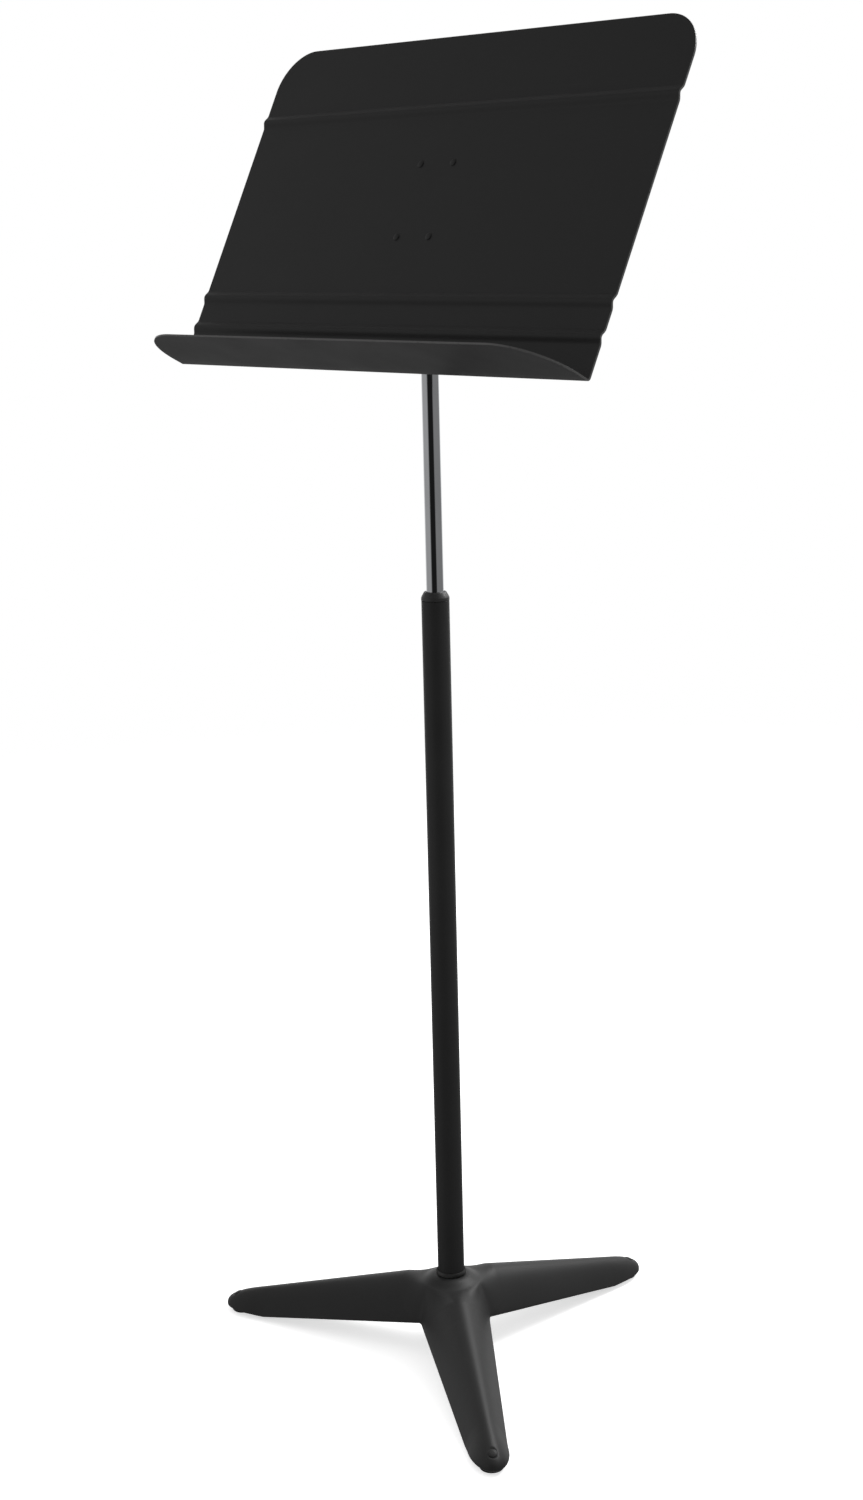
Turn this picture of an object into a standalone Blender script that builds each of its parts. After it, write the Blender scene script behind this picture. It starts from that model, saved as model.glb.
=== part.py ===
"""Music stand: a ribbed sheet desk on a tilting bracket, a sliding tube and a three-legged base."""
import math

import bmesh
import bpy
import numpy as np
from mathutils import Matrix, Vector

# ---- Driving dimensions, in metres and degrees ---------------------------------------------

# Clearances
REST_GAP = 0.0003       # between pieces that touch or are fixed to each other
SLIDE_GAP = 0.0003      # between pieces that slide or turn on each other

# Where the column stands in the footprint
COLUMN_Y = -0.0471

# Desk sheet
DESK_WIDTH = 0.508
DESK_HEIGHT = 0.318
DESK_SHEET = 0.0016
DESK_TILT = 27.13       # back from vertical
DESK_CORNER = 0.040
LIP_DEPTH = 0.0667
LIP_CORNER = 0.055
LIP_BEND = 0.0018       # inside radius
BEND_FORWARD = 0.0747   # the lip's bend line in front of the column
BEND_HEIGHT = 0.9392
RIB_CENTRES = (0.0375, 0.0676, 0.2462)
RIB_WIDTH = 0.0150
RIB_HEIGHT = 0.0025

# Tilt bracket and pivot
PIVOT_UP_DESK = 0.1051
PIVOT_BEHIND = 0.0301
BRACKET_SHEET = 0.0025
BRACKET_WIDTH = 0.064
BRACKET_BELOW = 0.013   # the plate below the pivot's level
BRACKET_ABOVE = 0.104   # the plate above the pivot's level
EAR_RADIUS = 0.0125
EAR_FOOT_ABOVE = 0.062
RIVET_SPACING_U = 0.0400
RIVET_SPACING_V = 0.0690
RIVET_FIRST_V = 0.1260
RIVET_RADIUS = 0.0023
RIVET_HEAD_RADIUS = 0.0034
RIVET_HEAD_HEIGHT = 0.0009
PIVOT_BOLT_RADIUS = 0.0040
LUG_HALF = 0.0060
LUG_RADIUS = 0.0120
FRICTION_WASHER = 0.0018
FLAT_WASHER = 0.0015
SPRING_WASHER = 0.0020
NUT_ACROSS_FLATS = 0.0130
NUT_HEIGHT = 0.0070
BOLT_HEAD_HEIGHT = 0.0053

# Chrome tube
INNER_RADIUS = 0.00795
INNER_WALL = 0.0012
INNER_BOTTOM = 0.370
INNER_TOP = 1.000

# Lower tube, its cap and its clutch
OUTER_RADIUS = 0.0127
OUTER_WALL = 0.0016
OUTER_BOTTOM = 0.0445
OUTER_TOP = 0.7320
CAP_TOP = 0.7400
CAP_TOP_RADIUS = 0.0100
CLUTCH_LENGTH = 0.031
CLUTCH_RING = 0.011
CLUTCH_FINGERS = 6
CLUTCH_SLOT = 0.0016
BUSH_LENGTH = 0.030
BUSH_UP_TUBE = 0.006

# Base
LEG_COUNT = 3
BASE_TURN = 53.9        # the first leg, from the front toward +X
BASE_SHEET = 0.0024
HUB_TOP = 0.0762           # round the tube
HUB_RIM_RADIUS = 0.0225
HUB_RIM_DROP = 0.0030
HUB_SHOULDER_RADIUS = 0.0295
HUB_SHOULDER_DROP = 0.0064
LEG_REACH = 0.2436
LEG_TIP_LENGTH = 0.0371
LEG_HALF_WIDTH = 0.0311     # at LEG_ROOT
TIP_HALF_WIDTH = 0.0184     # where the rounded tip starts
LEG_ROOT = 0.048
CREST_HEIGHT = 0.0695       # at LEG_ROOT
TIP_CREST_HEIGHT = 0.0267   # where the rounded tip starts
EDGE_HEIGHT = 0.0305        # at LEG_ROOT
TIP_EDGE_HEIGHT = 0.0053
TIP_FULLNESS = 3.0           # 2 rounds the tip as an ellipse, more as a fuller curve
EDGE_FALL_SHARE = 0.935     # of the straight part of the leg; the edge is level beyond
CROTCH_FILLET = 0.0080
CROWN_SHARPNESS = 0.90      # 0 gives a sharp ridge
FOOT_INSET = 0.0105         # in from the leg's end
FOOT_RADIUS = 0.0110
FOOT_SEAT_DEPTH = 0.0011
FOOT_HEIGHT = 0.0080
FOOT_RIVET_RADIUS = 0.0020
FOOT_RIVET_HEAD = 0.0042
SOCKET_WALL = 0.0033
SOCKET_BOTTOM = 0.0390
SOCKET_WEB = 0.0050
BASE_BOLT_RADIUS = 0.0040
BASE_BOLT_LENGTH = 0.030

ROUND = 36              # sides of a tube
SMALL_ROUND = 20        # sides of a washer, bolt or rivet

TILT = math.radians(DESK_TILT)
UP_DESK = Vector((0, math.sin(TILT), math.cos(TILT)))
OUT_DESK = Vector((0, -math.cos(TILT), math.sin(TILT)))
BEND = Vector((0, -BEND_FORWARD, BEND_HEIGHT))
PIVOT = BEND + UP_DESK * PIVOT_UP_DESK - OUT_DESK * PIVOT_BEHIND
FOOT_REACH = LEG_REACH - FOOT_INSET
LEG_SPAN = LEG_REACH - LEG_TIP_LENGTH - LEG_ROOT
LEG_TAPER = (LEG_HALF_WIDTH - TIP_HALF_WIDTH) / LEG_SPAN
CREST_SLOPE = (CREST_HEIGHT - TIP_CREST_HEIGHT) / LEG_SPAN
EDGE_SLOPE = (EDGE_HEIGHT - TIP_EDGE_HEIGHT) / (EDGE_FALL_SHARE * LEG_SPAN)


# ---- Scene and materials ---------------------------------------------------------------------

for old in list(bpy.data.objects):
    bpy.data.objects.remove(old, do_unlink=True)


def make_material(name, colour, roughness, metallic):
    material = bpy.data.materials.new(name)
    material.use_nodes = True
    shader = material.node_tree.nodes["Principled BSDF"]
    shader.inputs["Base Color"].default_value = (*colour, 1)
    shader.inputs["Roughness"].default_value = roughness
    shader.inputs["Metallic"].default_value = metallic
    return material


FINISHES = {
    "desk_black": ((0.022, 0.022, 0.023), 0.55, 0.0),
    "tube_black": ((0.018, 0.018, 0.019), 0.45, 0.0),
    "base_black": ((0.030, 0.030, 0.031), 0.50, 0.0),
    "cap_black": ((0.025, 0.025, 0.026), 0.40, 0.0),
    "chrome": ((0.70, 0.71, 0.72), 0.10, 1.0),
    "zinc_steel": ((0.55, 0.56, 0.57), 0.35, 1.0),
    "bare_steel": ((0.40, 0.40, 0.41), 0.45, 1.0),
    "spring_steel": ((0.33, 0.33, 0.34), 0.35, 1.0),
    "aluminium_rivet": ((0.60, 0.60, 0.61), 0.40, 1.0),
    "nylon": ((0.62, 0.60, 0.55), 0.50, 0.0),
    "fibre": ((0.20, 0.11, 0.06), 0.80, 0.0),
    "rubber": ((0.020, 0.020, 0.020), 0.85, 0.0),
}


# ---- Building blocks -------------------------------------------------------------------------

def finish(bm, name, finish_name, location=(0, 0, 0), turn=None, sharp=35):
    """Makes the named object from a bmesh, with its own material and smooth round faces."""
    bmesh.ops.remove_doubles(bm, verts=bm.verts, dist=1e-6)
    bmesh.ops.recalc_face_normals(bm, faces=bm.faces)
    mesh = bpy.data.meshes.new(name)
    bm.to_mesh(mesh)
    bm.free()
    mesh.materials.append(make_material(name + "_" + finish_name, *FINISHES[finish_name]))
    mesh.shade_smooth()
    mesh.set_sharp_from_angle(angle=math.radians(sharp))
    part = bpy.data.objects.new(name, mesh)
    bpy.context.scene.collection.objects.link(part)
    part.location = location
    if turn is not None:
        part.rotation_euler = turn.to_euler()
    return part


def turned(profile, sides):
    """A closed body of revolution about Z. A profile that meets the axis starts and ends on it."""
    bm = bmesh.new()
    points = [bm.verts.new((radius, 0, height)) for radius, height in profile]
    pairs = list(zip(points, points[1:]))
    if profile[0][0] > 0:
        pairs.append((points[-1], points[0]))
    for first, second in pairs:
        bm.edges.new((first, second))
    bmesh.ops.spin(
        bm, geom=bm.verts[:] + bm.edges[:], axis=(0, 0, 1), cent=(0, 0, 0),
        angle=2 * math.pi, steps=sides, use_merge=True,
    )
    bmesh.ops.remove_doubles(bm, verts=bm.verts, dist=1e-6)
    return bm


def prism(outline, low, high):
    """An outline in X and Y, extruded from one height to another."""
    bm = bmesh.new()
    face = bm.faces.new([bm.verts.new((x, y, low)) for x, y in outline])
    raised = bmesh.ops.extrude_face_region(bm, geom=[face])
    corners = [item for item in raised["geom"] if isinstance(item, bmesh.types.BMVert)]
    bmesh.ops.translate(bm, verts=corners, vec=(0, 0, high - low))
    return bm


def tube_profile(inner, outer, low, high, chamfer=0.0):
    return [
        (inner, low + chamfer), (inner + chamfer, low), (outer - chamfer, low), (outer, low + chamfer),
        (outer, high - chamfer), (outer - chamfer, high), (inner + chamfer, high), (inner, high - chamfer),
    ] if chamfer else [(inner, low), (outer, low), (outer, high), (inner, high)]


def rod_profile(radius, low, high, chamfer):
    return [
        (0, low), (radius - chamfer, low), (radius, low + chamfer),
        (radius, high - chamfer), (radius - chamfer, high), (0, high),
    ]


def hexagon(across_flats):
    radius = across_flats / math.sqrt(3)
    return [(radius * math.cos(math.pi / 3 * k), radius * math.sin(math.pi / 3 * k)) for k in range(6)]


def combine(part, operation, bm, turn=None, location=(0, 0, 0)):
    """Joins a bmesh to the object or cuts it away, as an applied exact Boolean."""
    if turn is not None:
        bmesh.ops.transform(bm, matrix=turn.to_4x4(), verts=bm.verts)
    bmesh.ops.translate(bm, verts=bm.verts, vec=location)
    bmesh.ops.recalc_face_normals(bm, faces=bm.faces)
    mesh = bpy.data.meshes.new("tool")
    bm.to_mesh(mesh)
    bm.free()
    tool = bpy.data.objects.new("tool", mesh)
    bpy.context.scene.collection.objects.link(tool)
    tool.matrix_world = part.matrix_basis
    modifier = part.modifiers.new("combine", "BOOLEAN")
    modifier.operation = operation
    modifier.solver = "EXACT"
    modifier.object = tool
    bpy.context.view_layer.update()
    result = part.evaluated_get(bpy.context.evaluated_depsgraph_get())
    made = bpy.data.meshes.new_from_object(result)
    part.modifiers.clear()
    part.data = made
    made.shade_smooth()
    made.set_sharp_from_angle(angle=math.radians(35))
    bpy.data.objects.remove(tool, do_unlink=True)
    return part


ALONG_X = Matrix.Rotation(math.radians(90), 3, "Y")
DESK_FRAME = Matrix((Vector((1, 0, 0)), UP_DESK, OUT_DESK)).transposed()


# ---- Base ------------------------------------------------------------------------------------

def crown(angle):
    """Height of the leg's section, 1 on the ridge and 0 at the edge, for an angle across it."""
    across = abs(math.sin(angle))
    ridge = CROWN_SHARPNESS
    flank = (math.hypot(across, ridge) - ridge) / (math.hypot(1, ridge) - ridge)
    return 1 - 0.72 * flank - 0.28 * across ** 3


def half_width(along):
    return LEG_HALF_WIDTH - LEG_TAPER * (along - LEG_ROOT)


def edge_height(along):
    return max(TIP_EDGE_HEIGHT, EDGE_HEIGHT - EDGE_SLOPE * (along - LEG_ROOT))


def crest_height(along):
    return CREST_HEIGHT - CREST_SLOPE * (along - LEG_ROOT)


def tip_rise(share):
    """The crest over the rounded tip: 1 at its start, where it runs on down the slope, and 0 at its end."""
    sink = CREST_SLOPE * LEG_TIP_LENGTH / (TIP_CREST_HEIGHT - TIP_EDGE_HEIGHT)
    return (1 - sink * share) * (1 - share ** TIP_FULLNESS) ** (1 / TIP_FULLNESS)


def tip_height(along):
    share = (along - LEG_REACH + LEG_TIP_LENGTH) / LEG_TIP_LENGTH
    return TIP_EDGE_HEIGHT + (TIP_CREST_HEIGHT - TIP_EDGE_HEIGHT) * tip_rise(share)


def leg_edge(arc_steps, stations):
    """Points (along, across, height) of the leg's lower edge, from the crotch to the tip's start."""
    slope = math.atan(LEG_TAPER)
    # The corner where this edge would meet its neighbour's, on the line between the two legs.
    side = math.tan(math.radians(180 / LEG_COUNT))
    corner_along = (LEG_HALF_WIDTH + LEG_TAPER * LEG_ROOT) / (side + LEG_TAPER)
    corner_across = corner_along * side
    turn = math.radians(90 - 180 / LEG_COUNT) - slope
    reach = CROTCH_FILLET * math.tan(turn)
    points = []
    start_along = corner_along + reach * math.cos(slope)
    start_across = corner_across - reach * math.sin(slope)
    for step in range(arc_steps + 1):
        bend = turn * (1 - step / arc_steps)
        along = start_along - CROTCH_FILLET * math.sin(bend) * math.cos(slope)
        along += CROTCH_FILLET * (1 - math.cos(bend)) * math.sin(slope)
        across = start_across + CROTCH_FILLET * math.sin(bend) * math.sin(slope)
        across += CROTCH_FILLET * (1 - math.cos(bend)) * math.cos(slope)
        points.append((along, across))
    end = LEG_REACH - LEG_TIP_LENGTH
    for step in range(1, stations + 1):
        along = start_along + (end - start_along) * step / stations
        points.append((along, half_width(along)))
    return [(along, across, edge_height(along)) for along, across in points]


def leg_rows(columns, arc_steps, stations, tip_steps, hub_steps):
    """Rows of points over one leg's outer skin, each from its left edge to its right edge."""
    angles = []
    for column in range(columns + 1):
        spread = 2 * column / columns - 1
        angles.append(math.radians(90) * (0.65 * spread + 0.35 * spread ** 3))
    edge = leg_edge(arc_steps, stations)
    skin = []
    for number, (edge_along, edge_across, edge_up) in enumerate(edge):
        share = number / (len(edge) - 1)
        crest_along = LEG_ROOT + (edge[-1][0] - LEG_ROOT) * share ** 1.15
        crest_along = max(crest_along, edge_along)
        row = []
        for angle in angles:
            along = edge_along + (crest_along - edge_along) * math.cos(angle)
            up = edge_up + (crest_height(crest_along) - edge_up) * crown(angle)
            row.append((along, edge_across * math.sin(angle), up))
        skin.append(row)
    sector = math.radians(180 / LEG_COUNT)
    hub = []
    inside_hole = OUTER_RADIUS - 0.0010
    for radius, up in ((inside_hole, HUB_TOP), (HUB_RIM_RADIUS, HUB_TOP - HUB_RIM_DROP)):
        hub.append([
            (radius * math.cos(sector * column), radius * math.sin(sector * column), up)
            for column in np.linspace(-1, 1, columns + 1)
        ])
    shoulder = HUB_TOP - HUB_SHOULDER_DROP
    rim = [
        (HUB_SHOULDER_RADIUS * math.cos(sector * column), HUB_SHOULDER_RADIUS * math.sin(sector * column),
         shoulder)
        for column in np.linspace(-1, 1, columns + 1)
    ]
    hub.append(rim)
    for step in range(1, hub_steps):
        share = step / hub_steps
        row = []
        for start, end in zip(rim, skin[0]):
            along = start[0] + (end[0] - start[0]) * share
            across = start[1] + (end[1] - start[1]) * share
            fall = share ** (1.0 + 0.25 * abs(start[1]) / (HUB_SHOULDER_RADIUS * math.sin(sector)))
            row.append((along, across, start[2] + (end[2] - start[2]) * fall))
        hub.append(row)
    tip = []
    start_along, start_across, start_up = edge[-1]
    crest_rise = crest_height(start_along) - TIP_EDGE_HEIGHT
    for step in range(1, tip_steps + 1):
        swing = math.radians(90) * step / tip_steps
        row = []
        for angle in angles:
            along = start_along + LEG_TIP_LENGTH * math.sin(swing) * math.cos(angle)
            up = TIP_EDGE_HEIGHT + crest_rise * crown(angle) * tip_rise(math.sin(swing))
            row.append((along, start_across * math.sin(angle), up))
        tip.append(row)
    return hub + skin + tip


def leg_matrix(number):
    """Turns a leg's own axes (along it, across it, up) to its place round the column."""
    azimuth = math.radians(BASE_TURN + 360 / LEG_COUNT * number)
    return Matrix((
        Vector((math.sin(azimuth), -math.cos(azimuth), 0)),
        Vector((math.cos(azimuth), math.sin(azimuth), 0)),
        Vector((0, 0, 1)),
    )).transposed()


def base_skin(columns, arc_steps, stations, tip_steps, hub_steps):
    """The base's outer skin: three legs' grids, joined along the lines between the legs."""
    bm = bmesh.new()
    rows = leg_rows(columns, arc_steps, stations, tip_steps, hub_steps)
    for number in range(LEG_COUNT):
        turn = leg_matrix(number)
        grid = [[bm.verts.new(turn @ Vector(point)) for point in row] for row in rows]
        for upper, lower in zip(grid, grid[1:]):
            for column in range(columns):
                bm.faces.new((upper[column], upper[column + 1], lower[column + 1], lower[column]))
    bmesh.ops.remove_doubles(bm, verts=bm.verts, dist=1e-5)
    bmesh.ops.recalc_face_normals(bm, faces=bm.faces)
    if sum(face.normal.z * face.calc_area() for face in bm.faces) < 0:
        bmesh.ops.reverse_faces(bm, faces=bm.faces)
    return bm


def thicken(bm, thickness):
    """Closes a skin into a sheet by adding a second skin below it along the normals."""
    bm.normal_update()
    inward = {}
    for vert in bm.verts:
        inward[vert] = vert.co - vert.normal * thickness * min(vert.calc_shell_factor(), 1.5)
    rim = [edge for edge in bm.edges if edge.is_boundary]
    twin = {vert: bm.verts.new(place) for vert, place in inward.items()}
    for face in list(bm.faces):
        bm.faces.new([twin[vert] for vert in reversed(face.verts)])
    for edge in rim:
        first, second = edge.verts
        bm.faces.new((first, second, twin[second], twin[first]))
    return bm


def add_base_shell():
    bm = thicken(base_skin(columns=10, arc_steps=2, stations=6, tip_steps=6, hub_steps=3), BASE_SHEET)
    shell = finish(bm, "base_shell", "base_black", sharp=50)
    tube_hole = turned(rod_profile(OUTER_RADIUS + REST_GAP, HUB_TOP - 0.01, HUB_TOP + 0.01, 0), ROUND)
    combine(shell, "DIFFERENCE", tube_hole)
    for number in range(LEG_COUNT):
        place, turn = foot_frame(number)
        dimple = turned(rod_profile(FOOT_RIVET_HEAD + 0.0011, -FOOT_SEAT_DEPTH, 0.01, 0), SMALL_ROUND)
        combine(shell, "DIFFERENCE", dimple, turn, place)
        hole = turned(rod_profile(FOOT_RIVET_RADIUS + REST_GAP, -0.01, 0.01, 0), SMALL_ROUND)
        combine(shell, "DIFFERENCE", hole, turn, place)
    return shell


def foot_frame(number):
    """The point on the crest where a foot's rivet sits, and the axes that stand on the slope there."""
    step = 0.001
    fall = math.atan((tip_height(FOOT_REACH - step) - tip_height(FOOT_REACH + step)) / (2 * step))
    place = leg_matrix(number) @ Vector((FOOT_REACH, 0, tip_height(FOOT_REACH)))
    return place, leg_matrix(number) @ Matrix.Rotation(fall, 3, "Y")


def add_foot(number, letter):
    """A rubber foot under a leg's tip, and the rivet that holds it."""
    place, turn = foot_frame(number)
    neck_top = -BASE_SHEET - 0.0030
    inward = turn @ Vector((0, 0, -1))
    reach = (place.z - FOOT_HEIGHT * 0.7) / -inward.z
    middle = place + inward * reach
    middle.z = 0
    puck = [
        (0, 0), (FOOT_RADIUS - 0.002, 0), (FOOT_RADIUS, 0.0018),
        (FOOT_RADIUS, FOOT_HEIGHT * 0.75), (FOOT_RADIUS * 0.6, FOOT_HEIGHT), (0, FOOT_HEIGHT),
    ]
    pad = finish(turned(puck, 24), "foot_pad_" + letter, "rubber", middle)
    bpy.context.view_layer.update()
    neck = turned(rod_profile(0.0045, -reach, neck_top, 0), SMALL_ROUND)
    combine(pad, "UNION", neck, turn, place - middle)
    hole = turned(rod_profile(FOOT_RIVET_RADIUS + REST_GAP, neck_top - 0.0080, 0.01, 0), SMALL_ROUND)
    combine(pad, "DIFFERENCE", hole, turn, place - middle)
    head_low = REST_GAP - FOOT_SEAT_DEPTH
    rivet = [
        (0, neck_top - 0.0075), (FOOT_RIVET_RADIUS, neck_top - 0.0075), (FOOT_RIVET_RADIUS, head_low),
        (FOOT_RIVET_HEAD, head_low), (FOOT_RIVET_HEAD, head_low + 0.0003),
        (FOOT_RIVET_HEAD * 0.70, head_low + 0.0009), (0, head_low + 0.0012),
    ]
    finish(turned(rivet, SMALL_ROUND), "foot_rivet_" + letter, "base_black", place, turn)


def add_base_joint():
    """The socket under the hub, the plug in the tube's foot, and the bolt between them."""
    bore = OUTER_RADIUS + REST_GAP
    fall = HUB_RIM_DROP / (HUB_RIM_RADIUS - bore) * SOCKET_WALL
    socket_top = HUB_TOP - fall - BASE_SHEET * 1.25 - REST_GAP
    web_top = SOCKET_BOTTOM + SOCKET_WEB
    bolt_hole = BASE_BOLT_RADIUS + REST_GAP
    socket = [
        (bolt_hole, SOCKET_BOTTOM), (bore + SOCKET_WALL, SOCKET_BOTTOM), (bore + SOCKET_WALL, socket_top),
        (bore, socket_top), (bore, web_top), (bolt_hole, web_top),
    ]
    finish(turned(socket, ROUND), "hub_socket", "bare_steel")
    ring_low = HUB_TOP + REST_GAP
    ring = tube_profile(bore, bore + 0.0014, ring_low, ring_low + 0.0040, 0.0004)
    finish(turned(ring, ROUND), "hub_ring", "rubber")
    plug_radius = OUTER_RADIUS - OUTER_WALL - REST_GAP
    plug_top = OUTER_BOTTOM + BASE_BOLT_LENGTH + 0.004
    plug = [
        (0, plug_top), (plug_radius, plug_top), (plug_radius, OUTER_BOTTOM), (bolt_hole, OUTER_BOTTOM),
        (bolt_hole, plug_top - 0.003), (0, plug_top - 0.003),
    ]
    finish(turned(plug, SMALL_ROUND), "tube_foot_plug", "bare_steel")
    washer_high = SOCKET_BOTTOM - REST_GAP
    washer_low = washer_high - 0.0020
    finish(turned(tube_profile(bolt_hole, 0.0110, washer_low, washer_high), SMALL_ROUND),
           "base_washer", "zinc_steel")
    lock_high = washer_low - REST_GAP
    lock_low = lock_high - 0.0018
    finish(turned(tube_profile(bolt_hole, 0.0072, lock_low, lock_high), SMALL_ROUND),
           "base_lock_washer", "spring_steel")
    head_high = lock_low - REST_GAP
    head = prism(hexagon(NUT_ACROSS_FLATS), head_high - BOLT_HEAD_HEIGHT, head_high)
    bolt = finish(head, "base_bolt", "zinc_steel")
    shank_high = OUTER_BOTTOM + BASE_BOLT_LENGTH
    shank = rod_profile(BASE_BOLT_RADIUS, head_high - 0.001, shank_high, 0.0006)
    combine(bolt, "UNION", turned(shank, SMALL_ROUND))


# ---- Lower tube, cap and clutch --------------------------------------------------------------

def add_outer_tube():
    inner = OUTER_RADIUS - OUTER_WALL
    profile = tube_profile(inner, OUTER_RADIUS, OUTER_BOTTOM, OUTER_TOP)
    finish(turned(profile, ROUND), "outer_tube", "tube_black")


def add_cap_and_clutch():
    bore = INNER_RADIUS + SLIDE_GAP
    sleeve = OUTER_RADIUS - OUTER_WALL - REST_GAP
    cap_low = OUTER_TOP + REST_GAP
    skirt_low = cap_low - 0.0050
    cap = [
        (bore, CAP_TOP), (CAP_TOP_RADIUS, CAP_TOP),
        (CAP_TOP_RADIUS + 0.0006, CAP_TOP - 0.0003), (OUTER_RADIUS - 0.0002, CAP_TOP - 0.0045),
        (OUTER_RADIUS + 0.0001, CAP_TOP - 0.0053), (OUTER_RADIUS + 0.0001, cap_low),
        (sleeve, cap_low), (sleeve, skirt_low), (sleeve - 0.0008, skirt_low),
        (sleeve - 0.0008, cap_low + 0.0008), (bore, cap_low + 0.0008),
    ]
    finish(turned(cap, ROUND), "tube_cap", "cap_black")
    clutch_top = cap_low - REST_GAP * 3
    clutch_low = clutch_top - CLUTCH_LENGTH
    ring_top = clutch_low + CLUTCH_RING
    finger = sleeve - 0.0016
    clutch = finish(turned([
        (bore, clutch_low), (sleeve, clutch_low), (sleeve, ring_top), (finger, ring_top + 0.001),
        (finger, clutch_top), (bore, clutch_top),
    ], SMALL_ROUND + 4), "finger_clutch", "spring_steel")
    for number in range(CLUTCH_FINGERS):
        half = CLUTCH_SLOT / 2
        slot = prism([(0.004, -half), (0.014, -half), (0.014, half), (0.004, half)],
                     ring_top + 0.002, clutch_top + 0.005)
        turn = Matrix.Rotation(2 * math.pi / CLUTCH_FINGERS * (number + 0.25), 3, "Z")
        combine(clutch, "DIFFERENCE", slot, turn)
    wire = (sleeve - finger - REST_GAP) / 2
    for name, share in (("lower", 0.34), ("upper", 0.62)):
        height = ring_top + (clutch_top - ring_top) * share
        ring = [
            (finger + REST_GAP + wire + wire * math.cos(angle), height + wire * math.sin(angle))
            for angle in np.linspace(0, 2 * math.pi, 7)[:-1]
        ]
        finish(turned(ring, 28), "clutch_spring_" + name, "spring_steel")


# ---- Sliding tube ----------------------------------------------------------------------------

def add_guide_bush():
    low = INNER_BOTTOM + BUSH_UP_TUBE
    bush = tube_profile(
        INNER_RADIUS + SLIDE_GAP, OUTER_RADIUS - OUTER_WALL - SLIDE_GAP, low, low + BUSH_LENGTH)
    finish(turned(bush, 28), "guide_bush", "nylon", sharp=50)


def add_inner_tube():
    inner = INNER_RADIUS - INNER_WALL
    head_foot = INNER_TOP - 0.036
    tube = finish(turned(tube_profile(inner, INNER_RADIUS, INNER_BOTTOM, INNER_TOP), ROUND),
                  "inner_tube", "chrome")
    pin_height = INNER_TOP - 0.018
    pin_radius = 0.0016
    pin_hole = turned(rod_profile(pin_radius + REST_GAP, -0.02, 0.02, 0), 20)
    combine(tube, "DIFFERENCE", pin_hole, ALONG_X, (0, 0, pin_height))
    low = INNER_BOTTOM + BUSH_UP_TUBE
    ring_inner = INNER_RADIUS + REST_GAP
    for name, bottom in (
        ("lower", low - SLIDE_GAP - 0.0012),
        ("upper", low + BUSH_LENGTH + SLIDE_GAP),
    ):
        ring = tube_profile(ring_inner, ring_inner + 0.0014, bottom, bottom + 0.0012)
        finish(turned(ring, 28), "bush_ring_" + name, "spring_steel")
    plug_radius = inner - REST_GAP
    flange_top = INNER_BOTTOM - REST_GAP
    plug = [
        (0, flange_top - 0.0030), (INNER_RADIUS - 0.0008, flange_top - 0.0030),
        (INNER_RADIUS, flange_top - 0.0022), (INNER_RADIUS, flange_top),
        (plug_radius, flange_top), (plug_radius, flange_top + 0.014),
        (plug_radius - 0.001, flange_top + 0.015), (0, flange_top + 0.015),
    ]
    finish(turned(plug, SMALL_ROUND), "tube_end_plug", "nylon")

    # The head: a stem in the tube, a shoulder on its end, and a flat lug round the pivot.
    stem_radius = inner - REST_GAP
    shoulder_low = INNER_TOP + REST_GAP
    shoulder_high = shoulder_low + 0.0040
    stem = [
        (0, head_foot), (stem_radius - 0.001, head_foot), (stem_radius, head_foot + 0.001),
        (stem_radius, shoulder_low), (INNER_RADIUS, shoulder_low), (INNER_RADIUS, shoulder_high),
        (INNER_RADIUS - 0.001, shoulder_high + 0.0012), (0, shoulder_high + 0.0012),
    ]
    head = finish(turned(stem, 32), "pivot_head", "bare_steel")
    rise = PIVOT.z
    foot = shoulder_high - 0.0005
    half = INNER_RADIUS * 0.80
    lug = [(-half, -(rise - foot)), (half, -(rise - foot))]
    lug += [
        (LUG_RADIUS * math.cos(angle), LUG_RADIUS * math.sin(angle))
        for angle in np.radians(np.linspace(-22, 202, 25))
    ]
    # The lug's outline is drawn across Y and up Z, and its thickness runs along X.
    stand_up = Matrix(((0, 0, 1), (1, 0, 0), (0, 1, 0)))
    combine(head, "UNION", prism(lug, -LUG_HALF, LUG_HALF), stand_up, (0, PIVOT.y, rise))
    bolt_hole = turned(rod_profile(PIVOT_BOLT_RADIUS + SLIDE_GAP, -0.02, 0.02, 0), 32)
    combine(head, "DIFFERENCE", bolt_hole, ALONG_X, PIVOT)
    stem_hole = turned(rod_profile(pin_radius + REST_GAP, -0.02, 0.02, 0), 20)
    combine(head, "DIFFERENCE", stem_hole, ALONG_X, (0, 0, pin_height))
    pin = turned(rod_profile(pin_radius, -INNER_RADIUS, INNER_RADIUS, 0.0003), 20)
    finish(pin, "head_pin", "spring_steel", (0, 0, pin_height), ALONG_X)
    for name, side in (("left", -1), ("right", 1)):
        start = LUG_HALF + REST_GAP
        hole = PIVOT_BOLT_RADIUS + SLIDE_GAP
        washer = tube_profile(hole, LUG_RADIUS - 0.001, start, start + FRICTION_WASHER)
        turn = ALONG_X if side > 0 else Matrix.Rotation(math.radians(-90), 3, "Y")
        finish(turned(washer, SMALL_ROUND), "friction_washer_" + name, "fibre", PIVOT, turn)


# ---- Desk ------------------------------------------------------------------------------------

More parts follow.
